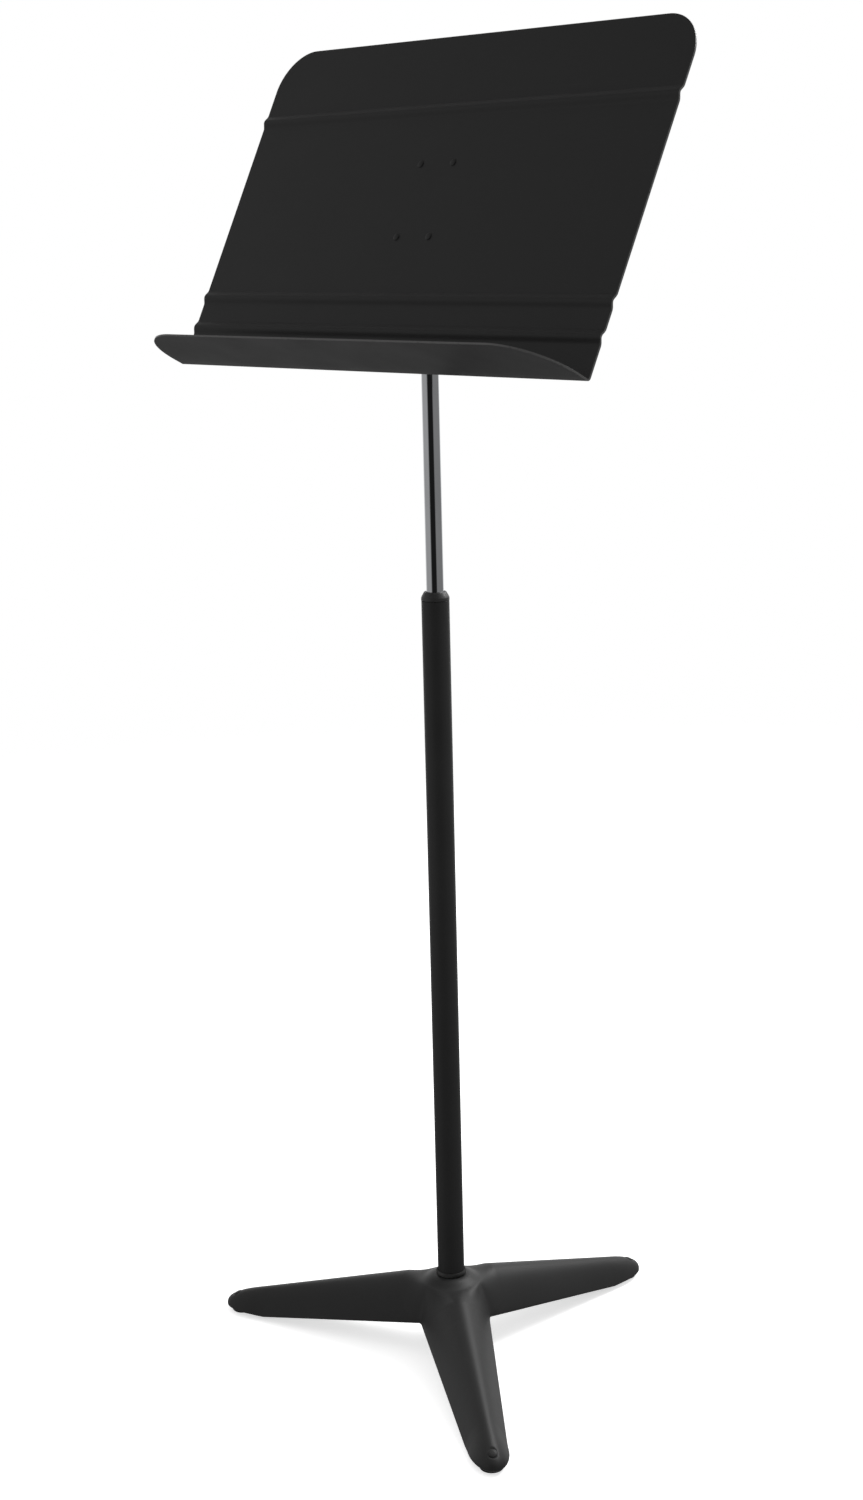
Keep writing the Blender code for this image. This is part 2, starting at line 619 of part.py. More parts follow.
def desk_section():
    """Points (up the desk, out of it, half width) of the music side, from the top to the lip's edge."""
    half = DESK_WIDTH / 2
    steps = 9
    points = []
    for step in range(steps + 1):
        swing = math.radians(90) * step / steps
        height = DESK_HEIGHT - DESK_CORNER * (1 - math.cos(swing))
        points.append((height, 0, half - DESK_CORNER * (1 - math.sin(swing))))
    for centre in sorted(RIB_CENTRES, reverse=True):
        for share in np.linspace(-1, 1, 11):
            height = centre - share * RIB_WIDTH / 2
            rise = RIB_HEIGHT * 0.5 * (1 + math.cos(math.pi * share))
            points.append((height, rise, half))
    corner = DESK_SHEET + LIP_BEND
    for step in range(5):
        swing = math.radians(90) * step / 4
        points.append((corner - LIP_BEND * math.sin(swing), LIP_BEND * (1 - math.cos(swing)), half))
    for step in range(steps + 3):
        swing = math.radians(90) * step / (steps + 2)
        out = LIP_DEPTH - LIP_CORNER * (1 - math.sin(swing))
        points.append((DESK_SHEET, out, half - LIP_CORNER * (1 - math.cos(swing))))
    return points


def desk_sheet():
    """The desk as one bent sheet, in its own frame: X across, Y up the desk, Z out of it."""
    bm = bmesh.new()
    section = desk_section()
    front = [Vector((0, up, out)) for up, out, width in section]
    rows = []
    for number, (up, out, width) in enumerate(section):
        before = front[max(number - 1, 0)]
        after = front[min(number + 1, len(front) - 1)]
        run = (after - before).normalized()
        # Going down the section, the sheet's thickness lies behind the music side.
        back = Vector((0, -run.z, run.y))
        rows.append((front[number], back, width))
    grid = []
    for place, back, width in rows:
        behind = place + back * DESK_SHEET
        grid.append([
            bm.verts.new((-width, place.y, place.z)), bm.verts.new((width, place.y, place.z)),
            bm.verts.new((width, behind.y, behind.z)), bm.verts.new((-width, behind.y, behind.z)),
        ])
    for upper, lower in zip(grid, grid[1:]):
        for side in range(4):
            following = (side + 1) % 4
            bm.faces.new((upper[side], upper[following], lower[following], lower[side]))
    bm.faces.new(grid[0])
    bm.faces.new(reversed(grid[-1]))
    return bm


def rivet_places():
    low = RIVET_FIRST_V
    return [
        (side * RIVET_SPACING_U / 2, low + level * RIVET_SPACING_V)
        for level in (0, 1) for side in (-1, 1)
    ]


def add_desk():
    desk = finish(desk_sheet(), "desk", "desk_black", BEND, DESK_FRAME, sharp=30)
    bpy.context.view_layer.update()
    for across, up in rivet_places():
        hole = turned(rod_profile(RIVET_RADIUS + REST_GAP, -0.02, 0.02, 0), 20)
        combine(desk, "DIFFERENCE", hole, location=(across, up, 0))
    return desk


def rounded_rectangle(low_x, high_x, low_y, high_y, radius, steps):
    corners = (
        (high_x - radius, low_y + radius, -90), (high_x - radius, high_y - radius, 0),
        (low_x + radius, high_y - radius, 90), (low_x + radius, low_y + radius, 180),
    )
    points = []
    for x, y, first in corners:
        for step in range(steps + 1):
            angle = math.radians(first + 90 * step / steps)
            points.append((x + radius * math.cos(angle), y + radius * math.sin(angle)))
    return points


def add_bracket():
    """The tilt bracket: a plate on the desk's back and two ears that hold the pivot bolt."""
    plate_top = -DESK_SHEET - REST_GAP
    plate_low = plate_top - BRACKET_SHEET
    outline = rounded_rectangle(
        -BRACKET_WIDTH / 2, BRACKET_WIDTH / 2,
        PIVOT_UP_DESK - BRACKET_BELOW, PIVOT_UP_DESK + BRACKET_ABOVE, 0.008, 4)
    bracket = finish(prism(outline, plate_low, plate_top), "tilt_bracket", "base_black", BEND, DESK_FRAME)
    ear_start = LUG_HALF + REST_GAP + FRICTION_WASHER + REST_GAP
    ear_end = ear_start + BRACKET_SHEET
    # The ear's outline is drawn up the desk and out of it, and its thickness runs across the desk.
    root = plate_low + 0.0006
    ear = [(PIVOT_UP_DESK - BRACKET_BELOW + 0.001, root)]
    ear += [
        (PIVOT_UP_DESK + EAR_RADIUS * math.cos(angle), -PIVOT_BEHIND + EAR_RADIUS * math.sin(angle))
        for angle in np.radians(np.linspace(180, 320, 17))
    ]
    ear.append((PIVOT_UP_DESK + EAR_FOOT_ABOVE, plate_low - 0.004))
    ear.append((PIVOT_UP_DESK + EAR_FOOT_ABOVE + 0.003, root))
    across = Matrix(((0, 0, 1), (1, 0, 0), (0, 1, 0)))
    for side in (-1, 1):
        low, high = sorted((side * ear_start, side * ear_end))
        combine(bracket, "UNION", prism(ear, low, high), across)
    hole = turned(rod_profile(PIVOT_BOLT_RADIUS + REST_GAP, -0.03, 0.03, 0), 32)
    combine(bracket, "DIFFERENCE", hole, ALONG_X, (0, PIVOT_UP_DESK, -PIVOT_BEHIND))
    for x, y in rivet_places():
        rivet_hole = turned(rod_profile(RIVET_RADIUS + REST_GAP, -0.02, 0.02, 0), 20)
        combine(bracket, "DIFFERENCE", rivet_hole, location=(x, y, 0))
    head = RIVET_HEAD_RADIUS
    rise = RIVET_HEAD_HEIGHT
    front = REST_GAP
    behind = plate_low - REST_GAP
    profile = [
        (0, front + rise), (head * 0.70, front + rise * 0.75), (head, front + rise * 0.15), (head, front),
        (RIVET_RADIUS, front), (RIVET_RADIUS, behind), (head, behind), (head, behind - rise * 0.15),
        (head * 0.70, behind - rise * 0.75), (0, behind - rise),
    ]
    for letter, (x, y) in zip("abcd", rivet_places()):
        place = BEND + DESK_FRAME @ Vector((x, y, 0))
        finish(turned(profile, 16), "desk_rivet_" + letter, "aluminium_rivet", place, DESK_FRAME)
    return ear_end


def add_pivot_bolt(ear_end):
    """The bolt through the ears and the lug, with its washers, spring washer and nut."""
    turn_right = ALONG_X
    turn_left = Matrix.Rotation(math.radians(-90), 3, "Y")
    hole = PIVOT_BOLT_RADIUS + REST_GAP
    washer_start = ear_end + REST_GAP
    washer_end = washer_start + FLAT_WASHER
    washer = tube_profile(hole, 0.0085, washer_start, washer_end)
    finish(turned(washer, SMALL_ROUND), "flat_washer_left", "zinc_steel", PIVOT, turn_left)
    finish(turned(washer, SMALL_ROUND), "flat_washer_right", "zinc_steel", PIVOT, turn_right)
    cone_start = washer_end + REST_GAP
    cone_rise = SPRING_WASHER * 0.45
    cone_end = cone_start + SPRING_WASHER
    cone = [
        (hole, cone_start + cone_rise), (0.0078, cone_start),
        (0.0080, cone_end - cone_rise), (hole + 0.0003, cone_end),
    ]
    finish(turned(cone, SMALL_ROUND), "spring_washer", "spring_steel", PIVOT, turn_right)
    nut_start = cone_end + REST_GAP
    nut_end = nut_start + NUT_HEIGHT
    flats = prism(hexagon(NUT_ACROSS_FLATS), nut_start, nut_end - 0.0018)
    nut = finish(flats, "pivot_nut", "zinc_steel", PIVOT, turn_right)
    collar = turned(rod_profile(NUT_ACROSS_FLATS * 0.46, nut_start + 0.001, nut_end, 0.0005), SMALL_ROUND)
    combine(nut, "UNION", collar)
    combine(nut, "DIFFERENCE", turned(rod_profile(hole, -0.01, 0.05, 0), SMALL_ROUND))
    head_start = washer_end + REST_GAP
    head = prism(hexagon(NUT_ACROSS_FLATS), head_start, head_start + BOLT_HEAD_HEIGHT)
    bolt = finish(head, "pivot_bolt", "zinc_steel", PIVOT, turn_left)
    shank = rod_profile(PIVOT_BOLT_RADIUS, -nut_end - 0.0015, head_start + 0.001, 0.0006)
    combine(bolt, "UNION", turned(shank, SMALL_ROUND))


# ---- Assembly --------------------------------------------------------------------------------

add_base_shell()
for leg, name_letter in enumerate("abc"):
    add_foot(leg, name_letter)
add_base_joint()
add_outer_tube()
add_cap_and_clutch()
add_guide_bush()
add_inner_tube()
add_desk()
ears_outside = add_bracket()
add_pivot_bolt(ears_outside)

for part in bpy.context.scene.objects:
    part.location.y += COLUMN_Y
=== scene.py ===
"""A music stand as it is put together, from its base up, and the finish of each piece."""
import math

import bmesh
import bpy
import numpy as np
from mathutils import Matrix, Vector


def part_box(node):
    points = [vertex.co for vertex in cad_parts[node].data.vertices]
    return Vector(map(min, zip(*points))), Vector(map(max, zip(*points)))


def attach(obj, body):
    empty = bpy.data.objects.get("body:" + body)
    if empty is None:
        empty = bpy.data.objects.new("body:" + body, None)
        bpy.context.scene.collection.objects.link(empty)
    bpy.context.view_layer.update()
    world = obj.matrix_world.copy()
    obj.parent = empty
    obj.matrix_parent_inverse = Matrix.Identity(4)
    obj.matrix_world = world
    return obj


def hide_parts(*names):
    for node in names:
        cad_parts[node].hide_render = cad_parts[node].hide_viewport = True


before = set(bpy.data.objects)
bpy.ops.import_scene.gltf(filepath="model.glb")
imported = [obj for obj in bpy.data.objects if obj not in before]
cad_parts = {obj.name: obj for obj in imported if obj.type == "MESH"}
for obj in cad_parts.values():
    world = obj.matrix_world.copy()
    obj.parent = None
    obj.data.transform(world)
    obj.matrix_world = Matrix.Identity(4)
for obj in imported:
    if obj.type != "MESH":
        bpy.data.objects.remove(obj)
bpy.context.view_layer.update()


# ---- Base shell ------------------------------------------------------------------------
# Three crowned legs and the hub between them, pressed in one piece from sheet steel and
# hollow below. The lower edge is dressed round, and a small seat is sunk into each tip for
# its foot's rivet. The steel is powder coated black, satin, with a fine grain.

SHEET = 0.0024
FIT_GAP = 0.0003            # left between pieces that touch
HUB_TOP = 0.0762
FLAT_RADIUS = 0.0155        # the hub is level inside this
COLLAR_SINK = 0.0003
SHOULDER_RADIUS, SHOULDER_DROP = 0.0295, 0.0064
LEG_REACH, TIP_LENGTH = 0.2436, 0.0371
LEG_ROOT, ROOT_HALF_WIDTH, LEG_TAPER = 0.048, 0.0311, 0.0801
ROOT_CREST, CREST_SLOPE = 0.0695, 0.270
ROOT_EDGE, EDGE_SLOPE, TIP_EDGE = 0.0305, 0.170, 0.0053
CROTCH_ROUND = 0.0080
RIDGE_SOFTNESS = 0.90
FLANK_SHARE = 0.72          # of the crown's fall; the rest comes close to the edge
TIP_FULLNESS = 3.0          # 2 rounds the tip as an ellipse, more as a fuller curve
FIRST_LEG = 53.9            # degrees round the column
RIVET_ALONG = 0.2331
SEAT_RADIUS, SEAT_BLEND, SEAT_DEPTH = 0.0047, 0.0014, 0.0011
SECTOR = math.radians(60)
RIM_BULGE = 0.0005
SOFTENED_HUB, SOFTENING_PASSES = 0.075, 6

tube_low, tube_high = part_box("outer_tube")
COLUMN = Vector(((tube_low.x + tube_high.x) / 2, (tube_low.y + tube_high.y) / 2, 0))
TUBE_RADIUS = (tube_high.x - tube_low.x) / 2
TUBE_HOLE = TUBE_RADIUS + FIT_GAP


class Wire:
    """A socket in a material's nodes. Arithmetic adds Math nodes; add() makes any other."""

    def __init__(self, tree, socket=None):
        self.tree = tree
        self.socket = socket

    def add(self, kind, settings=None, sockets=None, output=0):
        node = self.tree.nodes.new(kind)
        for name, setting in (settings or {}).items():
            setattr(node, name, setting)
        for key, given in (sockets or {}).items():
            if isinstance(given, Wire):
                self.tree.links.new(given.socket, node.inputs[key])
            else:
                node.inputs[key].default_value = given
        return Wire(self.tree, node.outputs[output] if node.outputs else None)

    def maths(self, operation, first, second):
        return self.add("ShaderNodeMath", {"operation": operation}, {0: first, 1: second})

    def __add__(self, other):
        return self.maths("ADD", self, other)

    def __radd__(self, other):
        return self.maths("ADD", other, self)

    def __sub__(self, other):
        return self.maths("SUBTRACT", self, other)

    def __rsub__(self, other):
        return self.maths("SUBTRACT", other, self)

    def __mul__(self, other):
        return self.maths("MULTIPLY", self, other)

    def __rmul__(self, other):
        return self.maths("MULTIPLY", other, self)

    def step(self, low, high):
        """0 at low, 1 at high, with a smooth rise between them."""
        return self.add(
            "ShaderNodeMapRange", {"interpolation_type": "SMOOTHSTEP"},
            {"Value": self, "From Min": low, "From Max": high})

    def noise(self, scale, detail=2.0, stretch=(1, 1, 1)):
        """Cloudy noise, with scale cells to the metre, on this vector."""
        place = self.add(
            "ShaderNodeVectorMath", {"operation": "MULTIPLY"}, {0: self, 1: stretch})
        return self.add(
            "ShaderNodeTexNoise", {}, {"Vector": place, "Scale": scale, "Detail": detail})

    def blend(self, first, second):
        """The first colour where this is 0 and the second where it is 1."""
        return self.add(
            "ShaderNodeMix", {"data_type": "RGBA"}, {0: self, 6: first, 7: second}, 2)

    def bump(self, depth):
        """The normal of a surface raised by this height times a depth in metres."""
        return self.add("ShaderNodeBump", {}, {"Height": self, "Distance": depth})


def new_material(name):
    material = bpy.data.materials.new(name)
    material.use_nodes = True
    material.node_tree.nodes.clear()
    wire = Wire(material.node_tree)
    place = wire.add("ShaderNodeTexCoord", output="Object")
    return material, wire, place


def surface(wire, sockets):
    """Puts a Principled shader with these sockets on the material's surface."""
    shader = wire.add("ShaderNodeBsdfPrincipled", {}, sockets)
    wire.add("ShaderNodeOutputMaterial", {}, {"Surface": shader})


def grey(level, warmth=0.0):
    return (level * (1 + warmth), level, level * (1 - warmth), 1)


def powder_coat(name, level, gloss, peel, sheen=0.35, peel_depth=0.00003):
    """Black powder coat: orange peel, finer grain, cloudy gloss, specks, rubbed edges."""
    material, wire, place = new_material(name)
    peel_height = place.noise(peel, 1.0)
    grain = place.noise(peel * 4.3, 1.0)
    cloud = place.noise(22.0, 3.0)
    speck = place.noise(2600.0, 0.0).step(0.735, 0.775) * 0.30
    rim = wire.add("ShaderNodeAttribute", {"attribute_name": "rim"}, output="Fac")
    worn = (rim * (0.55 + 0.9 * place.noise(260.0, 3.0))).step(0.62, 0.95) * 0.6
    scratch_lines = place.noise(9.0, 2.0, (1, 130, 130)).step(0.66, 0.70)
    scratch = scratch_lines * cloud.step(0.45, 0.62) * 0.14
    body = cloud.blend(grey(level * 0.90), grey(level * 1.12))
    dusty = (speck + scratch).blend(body, grey(level * 2.4 + 0.012, 0.02))
    bare_metal = grey(0.13, 0.01)
    surface(wire, {
        "Base Color": worn.blend(dusty, bare_metal),
        "Roughness": gloss - 0.05 + 0.10 * cloud + 0.05 * grain - 0.12 * worn,
        "Specular IOR Level": sheen,
        "Normal": (peel_height * 0.75 + grain * 0.25).bump(peel_depth),
    })
    return material


def settle(
    bm, name, body, material, stands_for=(), smooth=40, bevel=None, at=None, turn=None
):
    """Makes the finished piece, puts it on its CAD body and hides the CAD parts it stands
    for.
    """
    if turn is not None:
        bmesh.ops.transform(bm, matrix=turn.to_4x4(), verts=bm.verts)
    if at is not None:
        bmesh.ops.translate(bm, verts=bm.verts, vec=at)
    bmesh.ops.recalc_face_normals(bm, faces=bm.faces)
    mesh = bpy.data.meshes.new(name)
    bm.to_mesh(mesh)
    bm.free()
    mesh.materials.append(material)
    mesh.shade_smooth()
    mesh.set_sharp_from_angle(angle=math.radians(180 if bevel else smooth))
    piece = bpy.data.objects.new(name, mesh)
    bpy.context.scene.collection.objects.link(piece)
    if bevel:
        modifier = piece.modifiers.new("dressed_edges", "BEVEL")
        modifier.width = bevel
        modifier.segments = 3
        modifier.limit_method = "ANGLE"
        modifier.angle_limit = math.radians(42)
        modifier.harden_normals = True
    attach(piece, body)
    if stands_for:
        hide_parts(*stands_for)
    return piece


def eased(share):
    """0 to 1, level at both ends."""
    return share * share * (3 - 2 * share)


def crown(angle):
    """Height of a leg's cross-section: 1 on the ridge and 0 at the edge."""
    across = abs(math.sin(angle))
    flank = math.hypot(across, RIDGE_SOFTNESS) - RIDGE_SOFTNESS
    flank /= math.hypot(1, RIDGE_SOFTNESS) - RIDGE_SOFTNESS
    return 1 - FLANK_SHARE * flank - (1 - FLANK_SHARE) * across ** 3


def crest(along):
    return ROOT_CREST - CREST_SLOPE * (along - LEG_ROOT)


def tip_rise(share):
    """The crest over the rounded tip, from 1, where it runs down the slope, to 0."""
    sink = CREST_SLOPE * TIP_LENGTH / (crest(LEG_REACH - TIP_LENGTH) - TIP_EDGE)
    return (1 - sink * share) * (1 - share ** TIP_FULLNESS) ** (1 / TIP_FULLNESS)


def crest_at(along):
    """Height of the crest over the rounded tip."""
    share = (along - LEG_REACH + TIP_LENGTH) / TIP_LENGTH
    start = crest(LEG_REACH - TIP_LENGTH)
    return TIP_EDGE + (start - TIP_EDGE) * tip_rise(share)


def lower_edge(along):
    return max(TIP_EDGE, ROOT_EDGE - EDGE_SLOPE * (along - LEG_ROOT))


def edge_line(arc_steps, stations):
    """Points (along, across, height) of a leg's lower edge, from the crotch to the tip."""
    slope = math.atan(LEG_TAPER)
    side = math.tan(SECTOR)
    corner = (ROOT_HALF_WIDTH + LEG_TAPER * LEG_ROOT) / (side + LEG_TAPER)
    turn = math.radians(90) - SECTOR - slope
    reach = CROTCH_ROUND * math.tan(turn)
    start_along = corner + reach * math.cos(slope)
    start_across = corner * side - reach * math.sin(slope)
    points = []
    for step in range(arc_steps + 1):
        bend = turn * (1 - step / arc_steps)
        back = CROTCH_ROUND * math.sin(bend)
        off = CROTCH_ROUND * (1 - math.cos(bend))
        points.append((
            start_along - back * math.cos(slope) + off * math.sin(slope),
            start_across + back * math.sin(slope) + off * math.cos(slope)))
    end = LEG_REACH - TIP_LENGTH
    for step in range(1, stations + 1):
        along = start_along + (end - start_along) * step / stations
        points.append((along, ROOT_HALF_WIDTH - LEG_TAPER * (along - LEG_ROOT)))
    return [(along, across, lower_edge(along)) for along, across in points]


def collar_rows(spread, steps):
    """Rows over a third of the hub, from the tube's hole out to the shoulder."""
    rows = []
    for share in np.linspace(0, 1, steps + 1):
        radius = TUBE_HOLE + (SHOULDER_RADIUS - TUBE_HOLE) * share
        fall = eased(max(radius - FLAT_RADIUS, 0) / (SHOULDER_RADIUS - FLAT_RADIUS))
        height = HUB_TOP - COLLAR_SINK - (SHOULDER_DROP - COLLAR_SINK) * fall
        rows.append([
            (radius * math.cos(SECTOR * side), radius * math.sin(SECTOR * side), height)
            for side in spread
        ])
    return rows


def flank_rows(edge, angles):
    """Rows across a leg, from the crotch to where the rounded tip starts."""
    lag = 1.15      # more than 1 puts the ridge's points closer together at the root
    rows = []
    for number, (edge_along, edge_across, edge_up) in enumerate(edge):
        share = number / (len(edge) - 1)
        ridge = max(LEG_ROOT + (edge[-1][0] - LEG_ROOT) * share ** lag, edge_along)
        rows.append([
            (edge_along + (ridge - edge_along) * math.cos(angle),
             edge_across * math.sin(angle),
             edge_up + (crest(ridge) - edge_up) * crown(angle))
            for angle in angles
        ])
    return rows


def web_rows(shoulder, root, steps):
    """Rows that run out from the hub's shoulder to a leg's root."""
    side_sag = 0.25     # how much later the web falls at a leg's sides
    widest = SHOULDER_RADIUS * math.sin(SECTOR)
    rows = []
    for step in range(1, steps):
        share = step / steps
        row = []
        for inner, outer in zip(shoulder, root):
            fall = share ** (1.0 + side_sag * abs(inner[1]) / widest)
            row.append((
                inner[0] + (outer[0] - inner[0]) * share,
                inner[1] + (outer[1] - inner[1]) * share,
                inner[2] + (outer[2] - inner[2]) * fall))
        rows.append(row)
    return rows


def tip_rows(tip_along, tip_across, angles, steps):
    """Rows over the rounded tip."""
    rise = crest(tip_along) - TIP_EDGE
    rows = []
    for step in range(1, steps + 1):
        swing = math.radians(90) * step / steps
        rows.append([
            (tip_along + TIP_LENGTH * math.sin(swing) * math.cos(angle),
             tip_across * math.sin(angle),
             TIP_EDGE + rise * crown(angle) * tip_rise(math.sin(swing)))
            for angle in angles
        ])
    return rows


def leg_skin():
    """Rows of points over one leg's outer skin and its third of the hub."""
    columns, evenness = 56, 0.65        # the columns are closer together near the ridge
    spread = np.linspace(-1, 1, columns + 1)
    angles = np.radians(90) * (evenness * spread + (1 - evenness) * spread ** 3)
    edge = edge_line(arc_steps=6, stations=96)
    collar = collar_rows(spread, steps=14)
    flank = flank_rows(edge, angles)
    web = web_rows(collar[-1], flank[0], steps=12)
    return collar + web + flank + tip_rows(edge[-1][0], edge[-1][1], angles, steps=44)


def seated(point):
    """A point of the leg's skin, sunk where it lies in the flat seat of the rivet."""
    offset = Vector(point) - SEAT_AT
    above = offset.dot(SEAT_AXIS)
    away = (offset - SEAT_AXIS * above).length
    share = min(max((SEAT_RADIUS + SEAT_BLEND - away) / SEAT_BLEND, 0), 1)
    return Vector(point) - SEAT_AXIS * (max(above + SEAT_DEPTH, 0) * eased(share))


def leg_turn(number):
    """Turns a leg's axes (along it, across it, up) to its place round the column."""
    azimuth = math.radians(FIRST_LEG + 120 * number)
    return Matrix((
        Vector((math.sin(azimuth), -math.cos(azimuth), 0)),
        Vector((math.cos(azimuth), math.sin(azimuth), 0)),
        Vector((0, 0, 1)),
    )).transposed()


def close_sheet(bm, thickness, bulge, steps=5):
    """Gives a skin its thickness, with an edge dressed round all along the rim."""
    rim_mark = bm.verts.layers.float.new("rim")
    bm.normal_update()
    skin = list(bm.verts)
    faces = list(bm.faces)
    rim_edges = [edge for edge in bm.edges if edge.is_boundary]
    neighbours = {}
    for edge in rim_edges:
        for vert, other in (tuple(edge.verts), tuple(edge.verts)[::-1]):
            neighbours.setdefault(vert, []).append(other.co.copy())
    rings = {}
    under = {vert: bm.verts.new(vert.co - vert.normal * thickness) for vert in skin}
    for vert, ends in neighbours.items():
        inside = Vector((0, 0, 0))
        for edge in vert.link_edges:
            inside += edge.other_vert(vert).co - vert.co
        along = ends[0] - ends[-1]
        outward = along.cross(vert.normal).normalized()
        if outward.dot(inside) > 0:
            outward = -outward
        middle = (vert.co + under[vert].co) / 2
        rings[vert] = [vert]
        for step in range(1, steps):
            swing = math.pi * step / steps
            place = middle + (vert.co - middle) * math.cos(swing)
            rings[vert].append(bm.verts.new(place + outward * (bulge * math.sin(swing))))
        rings[vert].append(under[vert])
        for ring_vert in rings[vert]:
            ring_vert[rim_mark] = 1.0
    for face in faces:
        bm.faces.new([under[vert] for vert in reversed(face.verts)])
    for edge in rim_edges:
        first, second = edge.verts
        for step in range(steps):
            bm.faces.new((
                rings[first][step], rings[second][step],
                rings[second][step + 1], rings[first][step + 1]))


NUDGE = 0.001
SEAT_SLOPE = math.atan(
    (crest_at(RIVET_ALONG - NUDGE) - crest_at(RIVET_ALONG + NUDGE)) / (2 * NUDGE))
SEAT_AT = Vector((RIVET_ALONG, 0, crest_at(RIVET_ALONG)))
SEAT_AXIS = Vector((math.sin(SEAT_SLOPE), 0, math.cos(SEAT_SLOPE)))

leg_points = [[seated(point) for point in row] for row in leg_skin()]
skin = bmesh.new()
for leg in range(3):
    rows = [[skin.verts.new(leg_turn(leg) @ point) for point in row] for row in leg_points]
    for upper, lower in zip(rows, rows[1:]):
        for k in range(len(upper) - 1):
            skin.faces.new((upper[k], upper[k + 1], lower[k + 1], lower[k]))
bmesh.ops.remove_doubles(skin, verts=skin.verts, dist=1e-5)
bmesh.ops.recalc_face_normals(skin, faces=skin.faces)
if sum(face.normal.z * face.calc_area() for face in skin.faces) < 0:
    bmesh.ops.reverse_faces(skin, faces=skin.faces)
hub_skin = [
    vert for vert in skin.verts
    if not vert.is_boundary and math.hypot(vert.co.x, vert.co.y) < SOFTENED_HUB
]
for _ in range(SOFTENING_PASSES):
    bmesh.ops.smooth_vert(
        skin, verts=hub_skin, factor=0.5, use_axis_x=True, use_axis_y=True, use_axis_z=True)
close_sheet(skin, SHEET, RIM_BULGE)

base_coat = powder_coat("base_powder_coat", 0.024, gloss=0.44, sheen=0.25, peel=520.0)
settle(
    skin, "base_pressing", "base", base_coat, ["base_shell"], at=COLUMN,
    smooth=60)


# ---- Feet ------------------------------------------------------------------------------
# Under each tip stands a moulded rubber pad with a short neck. A round-headed rivet goes
# down through the seat in the tip into the neck. The rivets are in place before the base
# is coated.

PAD_HEIGHT = 0.0080
PAD_NECK = 0.0045
PAD_HOLLOW = 0.0006
PAD_GROOVE, PAD_GROOVE_UP = 0.0005, 0.42 * PAD_HEIGHT
NECK_CLEARANCE = 0.0015
FOOT_RIVET_SHANK, FOOT_RIVET_LENGTH = 0.0020, 0.007
RIVET_HEAD, RIVET_RISE = 0.0042, 0.0012


def soften(points, radius, steps=3, closed=False):
    """Rounds the corners of a run of 2-D points."""
    most = 0.45     # of a side, at each of its ends
    result = []
    last = len(points) - 1
    for number, point in enumerate(points):
        if not closed and number in (0, last):
            result.append(tuple(point))
            continue
        here = Vector(point)
        before = Vector(points[number - 1]) - here
        after = Vector(points[(number + 1) % len(points)]) - here
        start = here + before.normalized() * min(radius, before.length * most)
        end = here + after.normalized() * min(radius, after.length * most)
        for step in range(steps + 1):
            share = step / steps
            bent = start.lerp(here, share).lerp(here.lerp(end, share), share)
            result.append(tuple(bent))
    return result


def lathe(section, sides=64):
    """A turned solid about Z, from points (radius, height). Off the axis, it closes."""
    bm = bmesh.new()
    rings = []
    for radius, height in section:
        if radius < 1e-7:
            rings.append([bm.verts.new((0, 0, height))] * sides)
            continue
        rings.append([
            bm.verts.new((radius * math.cos(angle), radius * math.sin(angle), height))
            for angle in np.linspace(0, 2 * math.pi, sides, endpoint=False)
        ])
    pairs = list(zip(rings, rings[1:]))
    if section[0][0] > 1e-7:
        pairs.append((rings[-1], rings[0]))
    for lower, upper in pairs:
        for k in range(sides):
            following = (k + 1) % sides
            corners = (lower[k], lower[following], upper[following], upper[k])
            bm.faces.new(list(dict.fromkeys(corners)))
    return bm


def rubber(name):
    """Black moulded rubber with a dull bloom and a fine mould texture."""
    material, wire, place = new_material(name)
    bloom = place.noise(90.0, 3.0)
    grain = place.noise(1900.0, 2.0)
    surface(wire, {
        "Base Color": bloom.step(0.40, 0.75).blend(grey(0.014), grey(0.040, 0.02)),
        "Roughness": 0.72 + 0.16 * bloom,
        "Normal": (grain + 0.5 * place.noise(420.0)).bump(0.00003),
    })
    return material


def pad_section(radius):
    """A pad that is hollow below, with a groove round it, a sloping top and a neck."""
    waist = radius - PAD_GROOVE
    neck_top = SEAT_AT.z - SHEET - NECK_CLEARANCE
    return soften([
        (0, PAD_HOLLOW), (radius * 0.55, PAD_HOLLOW), (radius * 0.62, 0),
        (radius - 0.0008, 0), (radius, 0.0012),
        (radius, PAD_GROOVE_UP), (waist, PAD_GROOVE_UP + 0.0003),
        (waist, PAD_GROOVE_UP + 0.0009), (radius, PAD_GROOVE_UP + 0.0012),
        (radius, PAD_HEIGHT * 0.78), (radius * 0.62, PAD_HEIGHT), (PAD_NECK, PAD_HEIGHT),
        (PAD_NECK, neck_top), (0, neck_top),
    ], 0.0006)


def foot_rivet_section():
    """A shank and its low round head, which lies in the seat."""
    foot, head = -FOOT_RIVET_LENGTH, 0.0002 - SEAT_DEPTH
    return soften([
        (0, foot), (FOOT_RIVET_SHANK, foot), (FOOT_RIVET_SHANK, head), (RIVET_HEAD, head),
        (RIVET_HEAD, head + 0.0003), (RIVET_HEAD * 0.80, head + RIVET_RISE * 0.66),
        (RIVET_HEAD * 0.45, head + RIVET_RISE * 0.95), (0, head + RIVET_RISE),
    ], 0.0004)


